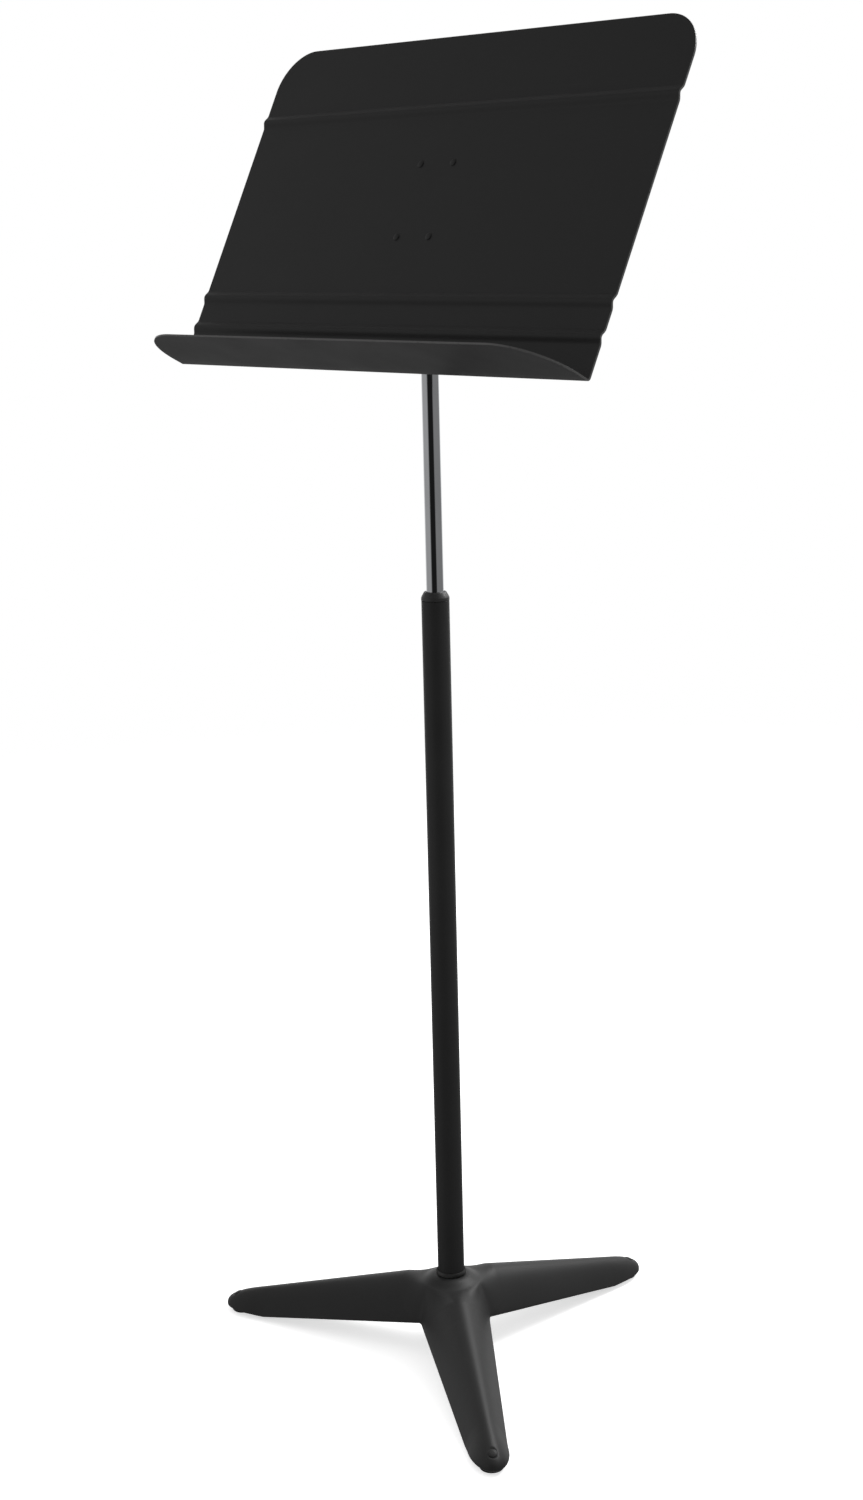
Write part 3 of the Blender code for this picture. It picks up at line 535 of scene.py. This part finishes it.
pad_rubber = rubber("foot_rubber")
for leg, letter in enumerate("abc"):
    pad_low, pad_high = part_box("foot_pad_" + letter)
    pad_centre = Vector(((pad_low.x + pad_high.x) / 2, (pad_low.y + pad_high.y) / 2, 0))
    settle(
        lathe(pad_section((pad_high.x - pad_low.x) / 2)), "rubber_foot_" + letter, "base",
        pad_rubber, ["foot_pad_" + letter], at=pad_centre)
    settle(
        lathe(foot_rivet_section(), 40), "foot_rivet_head_" + letter, "base", base_coat,
        ["foot_rivet_" + letter], at=COLUMN + leg_turn(leg) @ SEAT_AT,
        turn=leg_turn(leg) @ Matrix.Rotation(SEAT_SLOPE, 3, "Y"))


# ---- Tube socket and base bolt ---------------------------------------------------------
# Under the hub a steel socket is welded in for the tube's foot, and a bolt with a washer
# and a lock washer comes up through it into a plug in the tube. A rubber ring covers the
# gap on top.

SOCKET_WEB = 0.005
BOLT_RADIUS = 0.0040
BOLT_HOLE = BOLT_RADIUS + FIT_GAP
BOLT_HEAD = 0.0053
RING_LIP, RING_TAPER = 0.0024, 0.0009


def metal(name, level, tint=0.0, rough=0.34, turned=260.0, stain=0.35):
    """Plain or plated steel: turning marks, cloudy stain and a little grain."""
    material, wire, place = new_material(name)
    cloud = place.noise(150.0, 4.0)
    fine = place.noise(turned * 8.0, 2.0, (1, 1, 0.25))
    stained = cloud.step(0.35, 0.75) * stain
    surface(wire, {
        "Base Color": stained.blend(grey(level, tint), grey(level * 0.55, tint * 2)),
        "Metallic": 1.0,
        "Roughness": rough - 0.05 + 0.16 * cloud + 0.06 * fine,
        "Normal": (fine + 0.4 * place.noise(turned * 2.5)).bump(0.000012),
    })
    return material


def carry(names, material):
    """A CAD piece whose shape is right gets its finish."""
    for name in names:
        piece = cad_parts[name]
        for material_slot in piece.material_slots:
            material_slot.material = material


def box_size(name):
    """The middle of a CAD piece's box, and its size."""
    low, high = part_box(name)
    return (low + high) / 2, high - low


def ring_section(inner, outer, low, high, soft, steps=3):
    """A plain ring or tube with its corners softened."""
    corners = [(inner, low), (outer, low), (outer, high), (inner, high)]
    return soften(corners, soft, steps, closed=True)


zinc = metal("zinc_plate", 0.56, 0.03, 0.32)
bare_steel = metal("oiled_steel", 0.38, 0.02, 0.42, stain=0.6)
spring_steel = metal("spring_steel", 0.26, -0.03, 0.36, stain=0.5)

middle, size = box_size("hub_socket")
socket_low, socket_high = middle.z - size.z / 2, middle.z + size.z / 2
section = [
    (BOLT_HOLE, socket_low), (size.x / 2, socket_low), (size.x / 2, socket_high),
    (TUBE_HOLE, socket_high), (TUBE_HOLE, socket_low + SOCKET_WEB),
    (BOLT_HOLE, socket_low + SOCKET_WEB),
]
settle(
    lathe(soften(section, 0.0005, closed=True), 72), "tube_socket", "base", base_coat,
    ["hub_socket"], at=COLUMN)

ring_low, ring_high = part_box("hub_ring")
section = [
    (TUBE_HOLE, ring_low.z), (ring_high.x - 0.0001, ring_low.z),
    (ring_high.x, ring_low.z + RING_LIP), (ring_high.x - RING_TAPER, ring_high.z),
    (TUBE_HOLE, ring_high.z),
]
settle(
    lathe(soften(section, 0.0007, 4, closed=True), 96), "tube_ring", "base", pad_rubber,
    ["hub_ring"], at=COLUMN)

carry(["tube_foot_plug"], bare_steel)

for node, name, material, slot in (
    ("base_washer", "socket_washer", zinc, "zinc_steel"),
    ("base_lock_washer", "socket_lock_washer", spring_steel, "spring_steel"),
):
    middle, size = box_size(node)
    section = ring_section(
        BOLT_HOLE, size.x / 2, middle.z - size.z / 2, middle.z + size.z / 2, 0.0003)
    settle(lathe(section, 56), name, "base", material, [node], at=COLUMN)


def hex_head(across_flats, low, high, turned_end):
    """A hexagon with its corners turned off at one end, 'low' or 'high'."""
    sides, levels = 72, 7
    face_inset, turned_slope = 0.0002, 1.6
    bm = bmesh.new()
    rings = []
    for level in np.linspace(low, high, levels):
        depth = high - level if turned_end == "high" else level - low
        turned = across_flats / 2 - face_inset + depth * turned_slope
        corner = min(turned, across_flats / math.sqrt(3))
        ring = []
        for angle in np.arange(sides) * (2 * math.pi / sides):
            from_flat = (angle + math.pi / 6) % (math.pi / 3) - math.pi / 6
            reach = min(across_flats / 2 / math.cos(from_flat), corner)
            ring.append(
                bm.verts.new((reach * math.cos(angle), reach * math.sin(angle), level)))
        rings.append(ring)
    for lower, upper in zip(rings, rings[1:]):
        for k in range(sides):
            following = (k + 1) % sides
            bm.faces.new((lower[k], lower[following], upper[following], upper[k]))
    bm.faces.new(rings[0][::-1])
    bm.faces.new(rings[-1])
    return bm


def merge(bm, other):
    """Adds another closed body to a piece."""
    mesh = bpy.data.meshes.new("part")
    other.to_mesh(mesh)
    other.free()
    bm.from_mesh(mesh)
    bpy.data.meshes.remove(mesh)


def thread(low, high, pitch=0.00125, depth=0.0005):
    """Section of the bolt's threaded shank, from low to high, with its end turned down."""
    root, end = BOLT_RADIUS - depth, BOLT_RADIUS - depth * 1.3
    points = [(0, low), (root, low)]
    level = low + pitch * 0.5
    while level < high - pitch * 0.6:
        points.append((BOLT_RADIUS, level))
        points.append((root, level + pitch * 0.5))
        level += pitch
    return points + [(end, high), (0, high)]


bolt_low, bolt_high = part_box("base_bolt")
head_top = bolt_low.z + BOLT_HEAD
bolt = hex_head(bolt_high.y - bolt_low.y, bolt_low.z, head_top, "low")
merge(bolt, lathe(thread(head_top - FIT_GAP, bolt_high.z), 40))
settle(
    bolt, "socket_bolt", "base", zinc, ["base_bolt"], at=COLUMN, smooth=28)


# ---- Lower tube ------------------------------------------------------------------------
# A drawn steel tube, coated black like the base but with a finer peel. Its cut ends are
# chamfered, and the upper one takes the clutch's cap.

TUBE_WALL = 0.0016

tube_coat = powder_coat(
    "tube_powder_coat", 0.024, gloss=0.42, sheen=0.25, peel=820.0, peel_depth=0.00002)
section = ring_section(
    TUBE_RADIUS - TUBE_WALL, TUBE_RADIUS, tube_low.z, tube_high.z, 0.0004)
settle(
    lathe(section, 112), "lower_tube", "base", tube_coat, ["outer_tube"],
    at=COLUMN)


# ---- Cap and clutch --------------------------------------------------------------------
# A moulded cap closes the lower tube. Inside it six spring fingers, drawn in by two rings
# of wire, grip the chrome tube, so that the desk stays at any height and lifts with no
# knob.

CAP_TOP_RADIUS, CAP_SHOULDER_RADIUS = 0.0101, 0.0125
CAP_BEVEL, CAP_SHOULDER = 0.0044, 0.0052    # below the cap's top
CAP_WALL = 0.0008


def moulding(name, level, rough=0.34):
    """Black moulded plastic with a light spark texture."""
    material, wire, place = new_material(name)
    spark = place.noise(2300.0, 1.0)
    cloud = place.noise(60.0, 2.0)
    rubbed = place.noise(700.0, 3.0, (1, 1, 0.2)).step(0.60, 0.72) * 0.25
    body = cloud.blend(grey(level * 0.9), grey(level * 1.15))
    surface(wire, {
        "Base Color": rubbed.blend(body, grey(level * 2.2)),
        "Roughness": rough + 0.10 * cloud + 0.06 * spark,
        "Normal": spark.bump(0.000015),
    })
    return material


cap_low, cap_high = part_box("tube_cap")
chrome_low, chrome_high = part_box("inner_tube")
CHROME_RADIUS = (chrome_high.x - chrome_low.x) / 2
cap_hole = CHROME_RADIUS + FIT_GAP
cap_seat = tube_high.z + FIT_GAP
sleeve = TUBE_RADIUS - TUBE_WALL - FIT_GAP
top = cap_high.z
section = [
    (cap_hole + 0.0005, top), (CAP_TOP_RADIUS, top), (CAP_SHOULDER_RADIUS, top - CAP_BEVEL),
    (TUBE_RADIUS + 0.0001, top - CAP_SHOULDER), (TUBE_RADIUS + 0.0002, cap_seat),
    (sleeve, cap_seat), (sleeve, cap_low.z), (sleeve - CAP_WALL, cap_low.z),
    (sleeve - CAP_WALL, cap_seat + CAP_WALL), (cap_hole, cap_seat + CAP_WALL),
    (cap_hole, top - 0.0005),
]
settle(
    lathe(soften(section, 0.0004, 4, closed=True), 112), "clutch_cap", "base",
    moulding("cap_plastic", 0.030), ["tube_cap"], at=COLUMN)
carry(["finger_clutch", "clutch_spring_lower", "clutch_spring_upper"], spring_steel)


# ---- Guide bush ------------------------------------------------------------------------
# A nylon bush on the foot of the chrome tube slides in the lower tube and keeps the two in
# line. Two spring rings hold it on the tube, and the tube turns in it.

def nylon(name):
    """Natural nylon, a little uneven, with smears of grease."""
    material, wire, place = new_material(name)
    cloud = place.noise(70.0, 3.0)
    greased = place.noise(35.0, 2.0, (1, 1, 0.15)).step(0.5, 0.7)
    clean = cloud.blend((0.60, 0.57, 0.50, 1), (0.68, 0.66, 0.60, 1))
    surface(wire, {
        "Base Color": greased.blend(clean, (0.42, 0.40, 0.35, 1)),
        "Roughness": 0.52 - 0.20 * greased,
        "Normal": place.noise(1500.0).bump(0.00001),
    })
    return material


carry(["guide_bush", "tube_end_plug"], nylon("natural_nylon"))
carry(["bush_ring_lower", "bush_ring_upper"], spring_steel)


# ---- Chrome tube -----------------------------------------------------------------------
# The tube that slides is steel, polished and bright chrome plated. Hands leave a faint
# haze, and the clutch draws very fine lines along it.

CHROME_WALL = 0.0012


def chrome_plate(name):
    """Bright chrome with a cloudy haze, lines drawn along it and fine pits."""
    material, wire, place = new_material(name)
    haze = place.noise(28.0, 4.0, (1, 1, 0.55)).step(0.45, 0.72)
    drawn = place.noise(2600.0, 1.0, (1, 1, 0.004))
    pits = place.noise(1700.0, 0.0).step(0.76, 0.80) * 0.25
    dulled = haze * 0.30 + pits
    surface(wire, {
        "Base Color": dulled.blend((0.74, 0.75, 0.77, 1), (0.60, 0.61, 0.62, 1)),
        "Metallic": 1.0,
        "Roughness": 0.045 + 0.07 * haze + 0.05 * drawn.step(0.62, 0.72),
        "Normal": drawn.bump(0.0000012),
    })
    return material


section = ring_section(
    CHROME_RADIUS - CHROME_WALL, CHROME_RADIUS, chrome_low.z, chrome_high.z, 0.0004)
settle(
    lathe(section, 128), "chrome_tube", "mast", chrome_plate("bright_chrome"),
    ["inner_tube"], at=COLUMN)


# ---- Pivot head ------------------------------------------------------------------------
# A steel head is pinned into the top of the chrome tube. Its flat lug carries the pivot
# bolt, with a pressed-fibre washer on each side that gives the desk its friction.

PIN_END, PIN_CHAMFER = 0.0004, 0.0003
ALONG_X = Matrix.Rotation(math.radians(90), 3, "Y")


def fibre(name):
    """Pressed brown fibre with its strands showing."""
    material, wire, place = new_material(name)
    strands = place.noise(900.0, 4.0, (1, 0.3, 1))
    surface(wire, {
        "Base Color": strands.blend((0.10, 0.050, 0.026, 1), (0.30, 0.17, 0.10, 1)),
        "Roughness": 0.78 + 0.12 * strands,
        "Normal": strands.bump(0.00005),
    })
    return material


def crosswise_washer(node, name, body, material, soft=0.0003):
    """A washer on the pivot bolt."""
    middle, size = box_size(node)
    section = ring_section(BOLT_HOLE, size.z / 2, -size.x / 2, size.x / 2, soft)
    settle(lathe(section, 56), name, body, material, [node], at=middle, turn=ALONG_X)


lug = bmesh.new()
lug.from_mesh(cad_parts["pivot_head"].data)
bmesh.ops.remove_doubles(lug, verts=lug.verts, dist=2e-6)
bmesh.ops.dissolve_limit(lug, angle_limit=math.radians(1), verts=lug.verts, edges=lug.edges)
settle(lug, "pivot_lug", "mast", bare_steel, ["pivot_head"], bevel=0.0005)

middle, size = box_size("head_pin")
pin_radius, pin_half = size.z / 2, size.x / 2
section = [
    (0, -pin_half - PIN_END), (pin_radius - PIN_CHAMFER, -pin_half - PIN_END),
    (pin_radius, -pin_half + PIN_END), (pin_radius, pin_half - PIN_END),
    (pin_radius - PIN_CHAMFER, pin_half + PIN_END), (0, pin_half + PIN_END),
]
settle(
    lathe(soften(section, 0.0003), 32), "lug_pin", "mast", spring_steel,
    ["head_pin"], at=middle, turn=ALONG_X)

washer_fibre = fibre("pressed_fibre")
for side in ("left", "right"):
    crosswise_washer(
        "friction_washer_" + side, "fibre_washer_" + side, "mast", washer_fibre,
        soft=0.0004)


# ---- Desk ------------------------------------------------------------------------------
# One aluminium sheet, 1.6 mm thick, with rounded upper corners, three pressed ribs across
# it and a lip bent up square along its foot. It is powder coated black on both sides, its
# edges deburred.

DESK_SHEET = 0.0016
DESK_TILT = math.radians(27.13)
DESK_HEIGHT = 0.318
DESK_CORNER = 0.040
LIP_CORNER = 0.055
LIP_BEND = 0.0018
RIBS = (0.2462, 0.0676, 0.0375)
RIB_WIDTH, RIB_HEIGHT = 0.0150, 0.0025
EDGE_BAND = 0.0016          # where the coat is rubbed

UP_DESK = Vector((0, math.sin(DESK_TILT), math.cos(DESK_TILT)))
OUT_DESK = Vector((0, -math.cos(DESK_TILT), math.sin(DESK_TILT)))
DESK_AXES = Matrix((Vector((1, 0, 0)), UP_DESK, OUT_DESK)).transposed()
desk_low, desk_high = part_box("desk")
DESK_HALF = (desk_high.x - desk_low.x) / 2
# The sheet's top edge is its highest and rearmost place, and the lip's edge is foremost.
TOP_BACK = UP_DESK * DESK_HEIGHT - OUT_DESK * DESK_SHEET
BEND = Vector((0, desk_high.y - TOP_BACK.y, desk_high.z - UP_DESK.z * DESK_HEIGHT))
LIP_DEPTH = (BEND.y - desk_low.y) / -OUT_DESK.y


def quarter(points):
    """Angles from 0 to 90 degrees."""
    return np.radians(np.linspace(0, 90, points))


def desk_rows():
    """Points (up, out, half width) of the music side, from the top edge to the lip's."""
    rows = []
    for swing in quarter(26):
        up = DESK_HEIGHT - DESK_CORNER * (1 - math.cos(swing))
        rows.append((up, 0, DESK_HALF - DESK_CORNER * (1 - math.sin(swing))))
    for centre in RIBS:
        for share in np.linspace(-1, 1, 27):
            rise = RIB_HEIGHT * 0.5 * (1 + math.cos(math.pi * share))
            rows.append((centre - share * RIB_WIDTH / 2, rise, DESK_HALF))
    corner = DESK_SHEET + LIP_BEND
    for swing in quarter(9):
        up = corner - LIP_BEND * math.sin(swing)
        rows.append((up, LIP_BEND * (1 - math.cos(swing)), DESK_HALF))
    for swing in quarter(30):
        out = LIP_DEPTH - LIP_CORNER * (1 - math.sin(swing))
        rows.append((DESK_SHEET, out, DESK_HALF - LIP_CORNER * (1 - math.cos(swing))))
    return rows


def desk_mesh():
    """Rings of eight points round the sheet, with bands along its two side edges."""
    bm = bmesh.new()
    mark = bm.verts.layers.float.new("rim")
    rows = desk_rows()
    front = [Vector((0, up, out)) for up, out, half in rows]
    grid = []
    for number, (up, out, half) in enumerate(rows):
        run = front[min(number + 1, len(rows) - 1)] - front[max(number - 1, 0)]
        back = Vector((0, -run.z, run.y)).normalized()
        behind = front[number] + back * DESK_SHEET
        edge_away = min(DESK_HEIGHT - up, LIP_DEPTH - out)
        inner = half - EDGE_BAND
        across_front = (-half, -inner, inner, half)
        corners = [(across, front[number]) for across in across_front]
        corners += [(across, behind) for across in reversed(across_front)]
        ring = []
        for across, place in corners:
            vert = bm.verts.new((across, place.y, place.z))
            away = min(half - abs(across), edge_away)
            vert[mark] = max(0.0, 1 - away / EDGE_BAND)
            ring.append(vert)
        grid.append(ring)
    count = len(grid[0])
    for upper, lower in zip(grid, grid[1:]):
        for k in range(count):
            following = (k + 1) % count
            bm.faces.new((upper[k], upper[following], lower[following], lower[k]))
    for ring in (grid[0], grid[-1]):
        for k in range(3):
            bm.faces.new((ring[k], ring[k + 1], ring[6 - k], ring[7 - k]))
    return bm


desk_coat = powder_coat("desk_powder_coat", 0.010, gloss=0.44, sheen=0.46, peel=760.0)
settle(
    desk_mesh(), "ribbed_desk", "desk_head", desk_coat, ["desk"],
    bevel=0.00042, at=BEND, turn=DESK_AXES)


# ---- Tilt bracket ----------------------------------------------------------------------
# A steel plate lies on the back of the desk, and two ears of the same sheet are welded to
# it edge on. The bracket is coated before it is riveted on.

PIVOT_UP, PIVOT_BEHIND = 0.1051, 0.0301
PLATE_SHEET = 0.0025
PLATE_HALF = 0.032
PLATE_BELOW, PLATE_ABOVE = 0.013, 0.104     # the pivot's level
PLATE_CORNER = 0.009
EAR_RADIUS = 0.0125
EAR_FOOT = 0.062
EAR_START = 0.0084
WELD_RADIUS = 0.0017
WELD_RIPPLE = 0.0026
WELD_STEP, WELD_TAPER = 0.0004, 0.002


def slab(outline, low, high):
    """A flat plate with this outline, from low to high."""
    bm = bmesh.new()
    face = bm.faces.new([bm.verts.new((x, y, low)) for x, y in outline])
    raised = bmesh.ops.extrude_face_region(bm, geom=[face])
    corners = [item for item in raised["geom"] if isinstance(item, bmesh.types.BMVert)]
    bmesh.ops.translate(bm, verts=corners, vec=(0, 0, high - low))
    return bm


def ear_outline(foot, back):
    """Points (up the desk, out of it): a round end about the pivot and a long foot."""
    points = [(foot + 0.001, back)]
    for angle in np.radians(np.linspace(180, 320, 36)):
        points.append((
            PIVOT_UP + EAR_RADIUS * math.cos(angle),
            -PIVOT_BEHIND + EAR_RADIUS * math.sin(angle)))
    points.append((PIVOT_UP + EAR_FOOT, back - 0.0039))
    points.append((PIVOT_UP + EAR_FOOT + 0.003, back))
    return points


def weld_bead(length):
    """A fillet of weld along Y, laid in overlapping ripples."""
    bm = bmesh.new()
    rings = []
    stations = int(length / WELD_STEP)
    for station in range(stations + 1):
        along = length * station / stations
        ripple = (along % WELD_RIPPLE) / WELD_RIPPLE
        end = min(min(along, length - along) / WELD_TAPER, 1.0)
        radius = WELD_RADIUS * (0.84 + 0.16 * math.sin(math.pi * ripple) ** 0.6)
        radius *= math.sqrt(end) * 0.9 + 0.1
        rings.append([
            bm.verts.new((radius * math.cos(angle), along, radius * math.sin(angle)))
            for angle in np.radians(np.linspace(-100, 190, 15))
        ])
    for lower, upper in zip(rings, rings[1:]):
        for k in range(len(lower)):
            following = (k + 1) % len(lower)
            bm.faces.new((lower[k], lower[following], upper[following], upper[k]))
    bm.faces.new(rings[0][::-1])
    bm.faces.new(rings[-1])
    return bm


plate_top = -DESK_SHEET - FIT_GAP
plate_low = plate_top - PLATE_SHEET
plate_foot, plate_head = PIVOT_UP - PLATE_BELOW, PIVOT_UP + PLATE_ABOVE
plate = soften([
    (-PLATE_HALF, plate_foot), (PLATE_HALF, plate_foot),
    (PLATE_HALF, plate_head), (-PLATE_HALF, plate_head),
], PLATE_CORNER, 10, closed=True)
bracket_coat = powder_coat("bracket_powder_coat", 0.021, gloss=0.45, peel=600.0)
settle(
    slab(plate, plate_low, plate_top), "bracket_plate", "desk_head", bracket_coat,
    ["tilt_bracket"], bevel=0.0005, at=BEND, turn=DESK_AXES)

ear = ear_outline(plate_foot, plate_low - 0.0001)
SIDEWAYS = Matrix(((0, 0, 1), (1, 0, 0), (0, 1, 0)))
for side, sign in (("left", -1), ("right", 1)):
    outer = sign * (EAR_START + PLATE_SHEET)
    low, high = sorted((sign * EAR_START, outer))
    settle(
        slab(ear, low, high), "bracket_ear_" + side, "desk_head", bracket_coat,
        ["tilt_bracket"], bevel=0.0005, at=BEND, turn=DESK_AXES @ SIDEWAYS)
    weld_from = Vector((outer + sign * 0.0002, plate_foot + 0.006, plate_low - 0.0002))
    mirror = Matrix.Diagonal((sign, 1, -1))
    settle(
        weld_bead(EAR_FOOT + 0.004), "ear_weld_" + side, "desk_head", bracket_coat,
        at=BEND + DESK_AXES @ weld_from, turn=DESK_AXES @ mirror, smooth=60)


# ---- Desk rivets -----------------------------------------------------------------------
# Four solid aluminium rivets hold the bracket. Their round heads on the music side are
# coated with the desk, and the closed heads behind are bare.

RIVET_SHANK = 0.0023
DESK_HEAD, DESK_HEAD_RISE = 0.0034, 0.0009
HEAD_EDGE = 0.12            # of the rise, straight at the head's edge


def rivet_end(shank_start, seat, side):
    """A short shank up to a seat, and a round head beyond it on this side, 1 or -1."""
    section = [
        (0, shank_start), (RIVET_SHANK, shank_start), (RIVET_SHANK, seat), (DESK_HEAD, seat)]
    for swing in quarter(9):
        rise = DESK_HEAD_RISE * (HEAD_EDGE + (1 - HEAD_EDGE) * math.sin(swing))
        section.append((DESK_HEAD * math.cos(swing), seat + side * rise))
    return lathe(section, 40)


rivet_aluminium = metal("rivet_aluminium", 0.62, 0.0, 0.40, turned=180.0, stain=0.4)
for letter in "abcd":
    middle, _ = box_size("desk_rivet_" + letter)
    local = DESK_AXES.transposed() @ (middle - BEND)
    rivet_at = BEND + DESK_AXES @ Vector((local.x, local.y, 0))
    for name, bm, coat, slot in (
        ("rivet_head_", rivet_end(-0.0008, 0.0001, 1), desk_coat, "desk_black"),
        ("rivet_tail_", rivet_end(-0.0012, plate_low - 0.0001, -1), rivet_aluminium,
         "aluminium_rivet"),
    ):
        settle(
            bm, name + letter, "desk_head", coat, ["desk_rivet_" + letter],
            at=rivet_at, turn=DESK_AXES, smooth=50)


# ---- Pivot bolt ------------------------------------------------------------------------
# A zinc-plated bolt goes through both ears and the lug. A flat washer lies on each ear,
# and on one side a cone spring washer keeps the load on the fibre washers under a lock
# nut.

FLATS = 0.0130
CONE_EDGE = 0.0009
NUT_COLLAR, NUT_COLLAR_ROOT, NUT_COLLAR_EDGE = 0.0018, 0.0030, 0.0008

for side in ("left", "right"):
    crosswise_washer(
        "flat_washer_" + side, "plain_washer_" + side, "desk_head", zinc)

middle, size = box_size("spring_washer")
half = size.x / 2
section = [
    (BOLT_HOLE, -half + CONE_EDGE), (size.z / 2 - 0.0002, -half),
    (size.z / 2, half - CONE_EDGE), (BOLT_HOLE + 0.0003, half),
]
settle(
    lathe(soften(section, 0.0002, closed=True), 56), "cone_washer", "desk_head",
    spring_steel, ["spring_washer"], at=middle, turn=ALONG_X)

bolt_low, bolt_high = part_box("pivot_bolt")
nut_low, nut_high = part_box("pivot_nut")
pivot_at = Vector((0, (bolt_low.y + bolt_high.y) / 2, (bolt_low.z + bolt_high.z) / 2))
head_low = -bolt_low.x - BOLT_HEAD
bolt = hex_head(FLATS, head_low, -bolt_low.x, "high")
merge(bolt, lathe(thread(-bolt_high.x, head_low + FIT_GAP), 40))
settle(
    bolt, "tilt_bolt", "desk_head", zinc, ["pivot_bolt"], at=pivot_at,
    turn=Matrix.Rotation(math.radians(-90), 3, "Y"), smooth=28)

nut = hex_head(FLATS, nut_low.x, nut_high.x - NUT_COLLAR, "high")
nut_hole, collar_low = BOLT_RADIUS + 0.0001, nut_high.x - NUT_COLLAR_ROOT
section = [
    (nut_hole, collar_low), (FLATS * 0.46, collar_low),
    (FLATS * 0.46, nut_high.x - NUT_COLLAR_EDGE), (FLATS * 0.40, nut_high.x),
    (nut_hole, nut_high.x),
]
merge(nut, lathe(soften(section, 0.0005, 4, closed=True), 48))
settle(
    nut, "tilt_nut", "desk_head", zinc, ["pivot_nut"], at=pivot_at,
    turn=ALONG_X, smooth=28)


# ---- Studio ----------------------------------------------------------------------------
# A plain white floor that runs out into white. The surround is bright behind the stand
# and dim in front of it, with softer light from its sides and from above, and an even
# fill on what isn't glossy. One large soft light hangs high on the right.

FLOOR_RADIUS, FLOOR_DROP = 3.0, 0.0002
FLOOR_FADE = 1.2, 2.9
LAMP_SIZE = 1.6
CAMERA_AT = (1.4445, -1.4446, 1.0604)
CAMERA_AZIMUTH, CAMERA_PITCH, CAMERA_ROLL = 46.14, 13.07, -1.40
LENS = 54.21
WHITE = (1, 1, 1, 1)

floor_mesh = bpy.data.meshes.new("floor")
bm = bmesh.new()
bmesh.ops.create_circle(
    bm, cap_ends=True, cap_tris=False, segments=96, radius=FLOOR_RADIUS)
bm.to_mesh(floor_mesh)
bm.free()
floor = bpy.data.objects.new("floor", floor_mesh)
floor.location = (0, 0, -FLOOR_DROP)
floor.visible_glossy = False
floor.visible_diffuse = False
bpy.context.scene.collection.objects.link(floor)
material, wire, place = new_material("floor_paper")
distance = wire.add("ShaderNodeVectorMath", {"operation": "LENGTH"}, {0: place}, 1)
paper = wire.add("ShaderNodeBsdfDiffuse", {}, {"Color": (0.86, 0.86, 0.86, 1)})
glow = wire.add("ShaderNodeEmission", {}, {"Color": WHITE, "Strength": 0.62})
lit = wire.add("ShaderNodeAddShader", {}, {0: paper, 1: glow})
clear = wire.add("ShaderNodeBsdfTransparent")
faded = wire.add(
    "ShaderNodeMixShader", {}, {0: distance.step(*FLOOR_FADE), 1: lit, 2: clear})
wire.add("ShaderNodeOutputMaterial", {}, {"Surface": faded})
floor_mesh.materials.append(material)

turn_left = math.radians(CAMERA_AZIMUTH)
TOWARDS_CAMERA = Vector((math.sin(turn_left), -math.cos(turn_left), 0))
CAMERA_RIGHT = Vector((math.cos(turn_left), math.sin(turn_left), 0))
world = bpy.data.worlds.new("studio")
bpy.context.scene.world = world
world.use_nodes = True
world.node_tree.nodes.clear()
wire = Wire(world.node_tree)
gaze = wire.add("ShaderNodeTexCoord", output="Generated")


def facing(direction):
    """How far the gaze turns to a direction, from -1 to 1."""
    return wire.add(
        "ShaderNodeVectorMath", {"operation": "DOT_PRODUCT"}, {0: gaze, 1: direction}, 1)


front_side = facing(TOWARDS_CAMERA)
right_side = facing(CAMERA_RIGHT)
height = facing((0, 0, 1))
behind_light = front_side.step(-0.48, -0.97) * 1.05
left_light = right_side.step(-0.55, -0.80) * 0.36
right_light = right_side.step(0.33, 0.53) * 0.21
top_light = height.step(0.60, 0.98) * 0.30
above_floor = 1 - 0.58 * height.step(0.0, -0.5)
fill = wire.add("ShaderNodeLightPath", output="Is Diffuse Ray") * 0.45
level = (0.012 + behind_light + left_light + right_light + top_light) * above_floor + fill
seen = wire.add("ShaderNodeLightPath", output="Is Camera Ray")
light = wire.add("ShaderNodeBackground", {}, {"Color": WHITE, "Strength": level})
white = wire.add("ShaderNodeBackground", {}, {"Color": WHITE, "Strength": 1.0})
both = wire.add("ShaderNodeMixShader", {}, {0: seen, 1: light, 2: white})
wire.add("ShaderNodeOutputWorld", {}, {"Surface": both})

lamp_data = bpy.data.lights.new("soft_light", "AREA")
lamp_data.shape = "RECTANGLE"
lamp_data.size, lamp_data.size_y = LAMP_SIZE, LAMP_SIZE
lamp_data.energy = 60
lamp = bpy.data.objects.new("soft_light", lamp_data)
lamp_at = CAMERA_RIGHT * 1.6 - TOWARDS_CAMERA * 1.0 + Vector((0, 0, 2.4))
lamp.location = lamp_at
lamp.rotation_mode = "QUATERNION"
lamp.rotation_quaternion = (Vector((0, 0, 0.5)) - lamp_at).to_track_quat("-Z", "Y")
lamp.visible_camera = False
bpy.context.scene.collection.objects.link(lamp)

pitch, roll = math.radians(CAMERA_PITCH), math.radians(CAMERA_ROLL)
ahead = TOWARDS_CAMERA * -math.cos(pitch) - Vector((0, 0, math.sin(pitch)))
level_up = CAMERA_RIGHT.cross(ahead)
right = math.cos(roll) * CAMERA_RIGHT + math.sin(roll) * level_up
up = -math.sin(roll) * CAMERA_RIGHT + math.cos(roll) * level_up
camera_data = bpy.data.cameras.new("camera")
camera_data.lens = LENS
camera_data.sensor_width = 36.0
camera = bpy.data.objects.new("camera", camera_data)
camera.matrix_world = Matrix((right, up, -ahead)).transposed().to_4x4()
camera.location = CAMERA_AT
bpy.context.scene.collection.objects.link(camera)
bpy.context.scene.camera = camera
bpy.context.scene.view_settings.view_transform = "Standard"
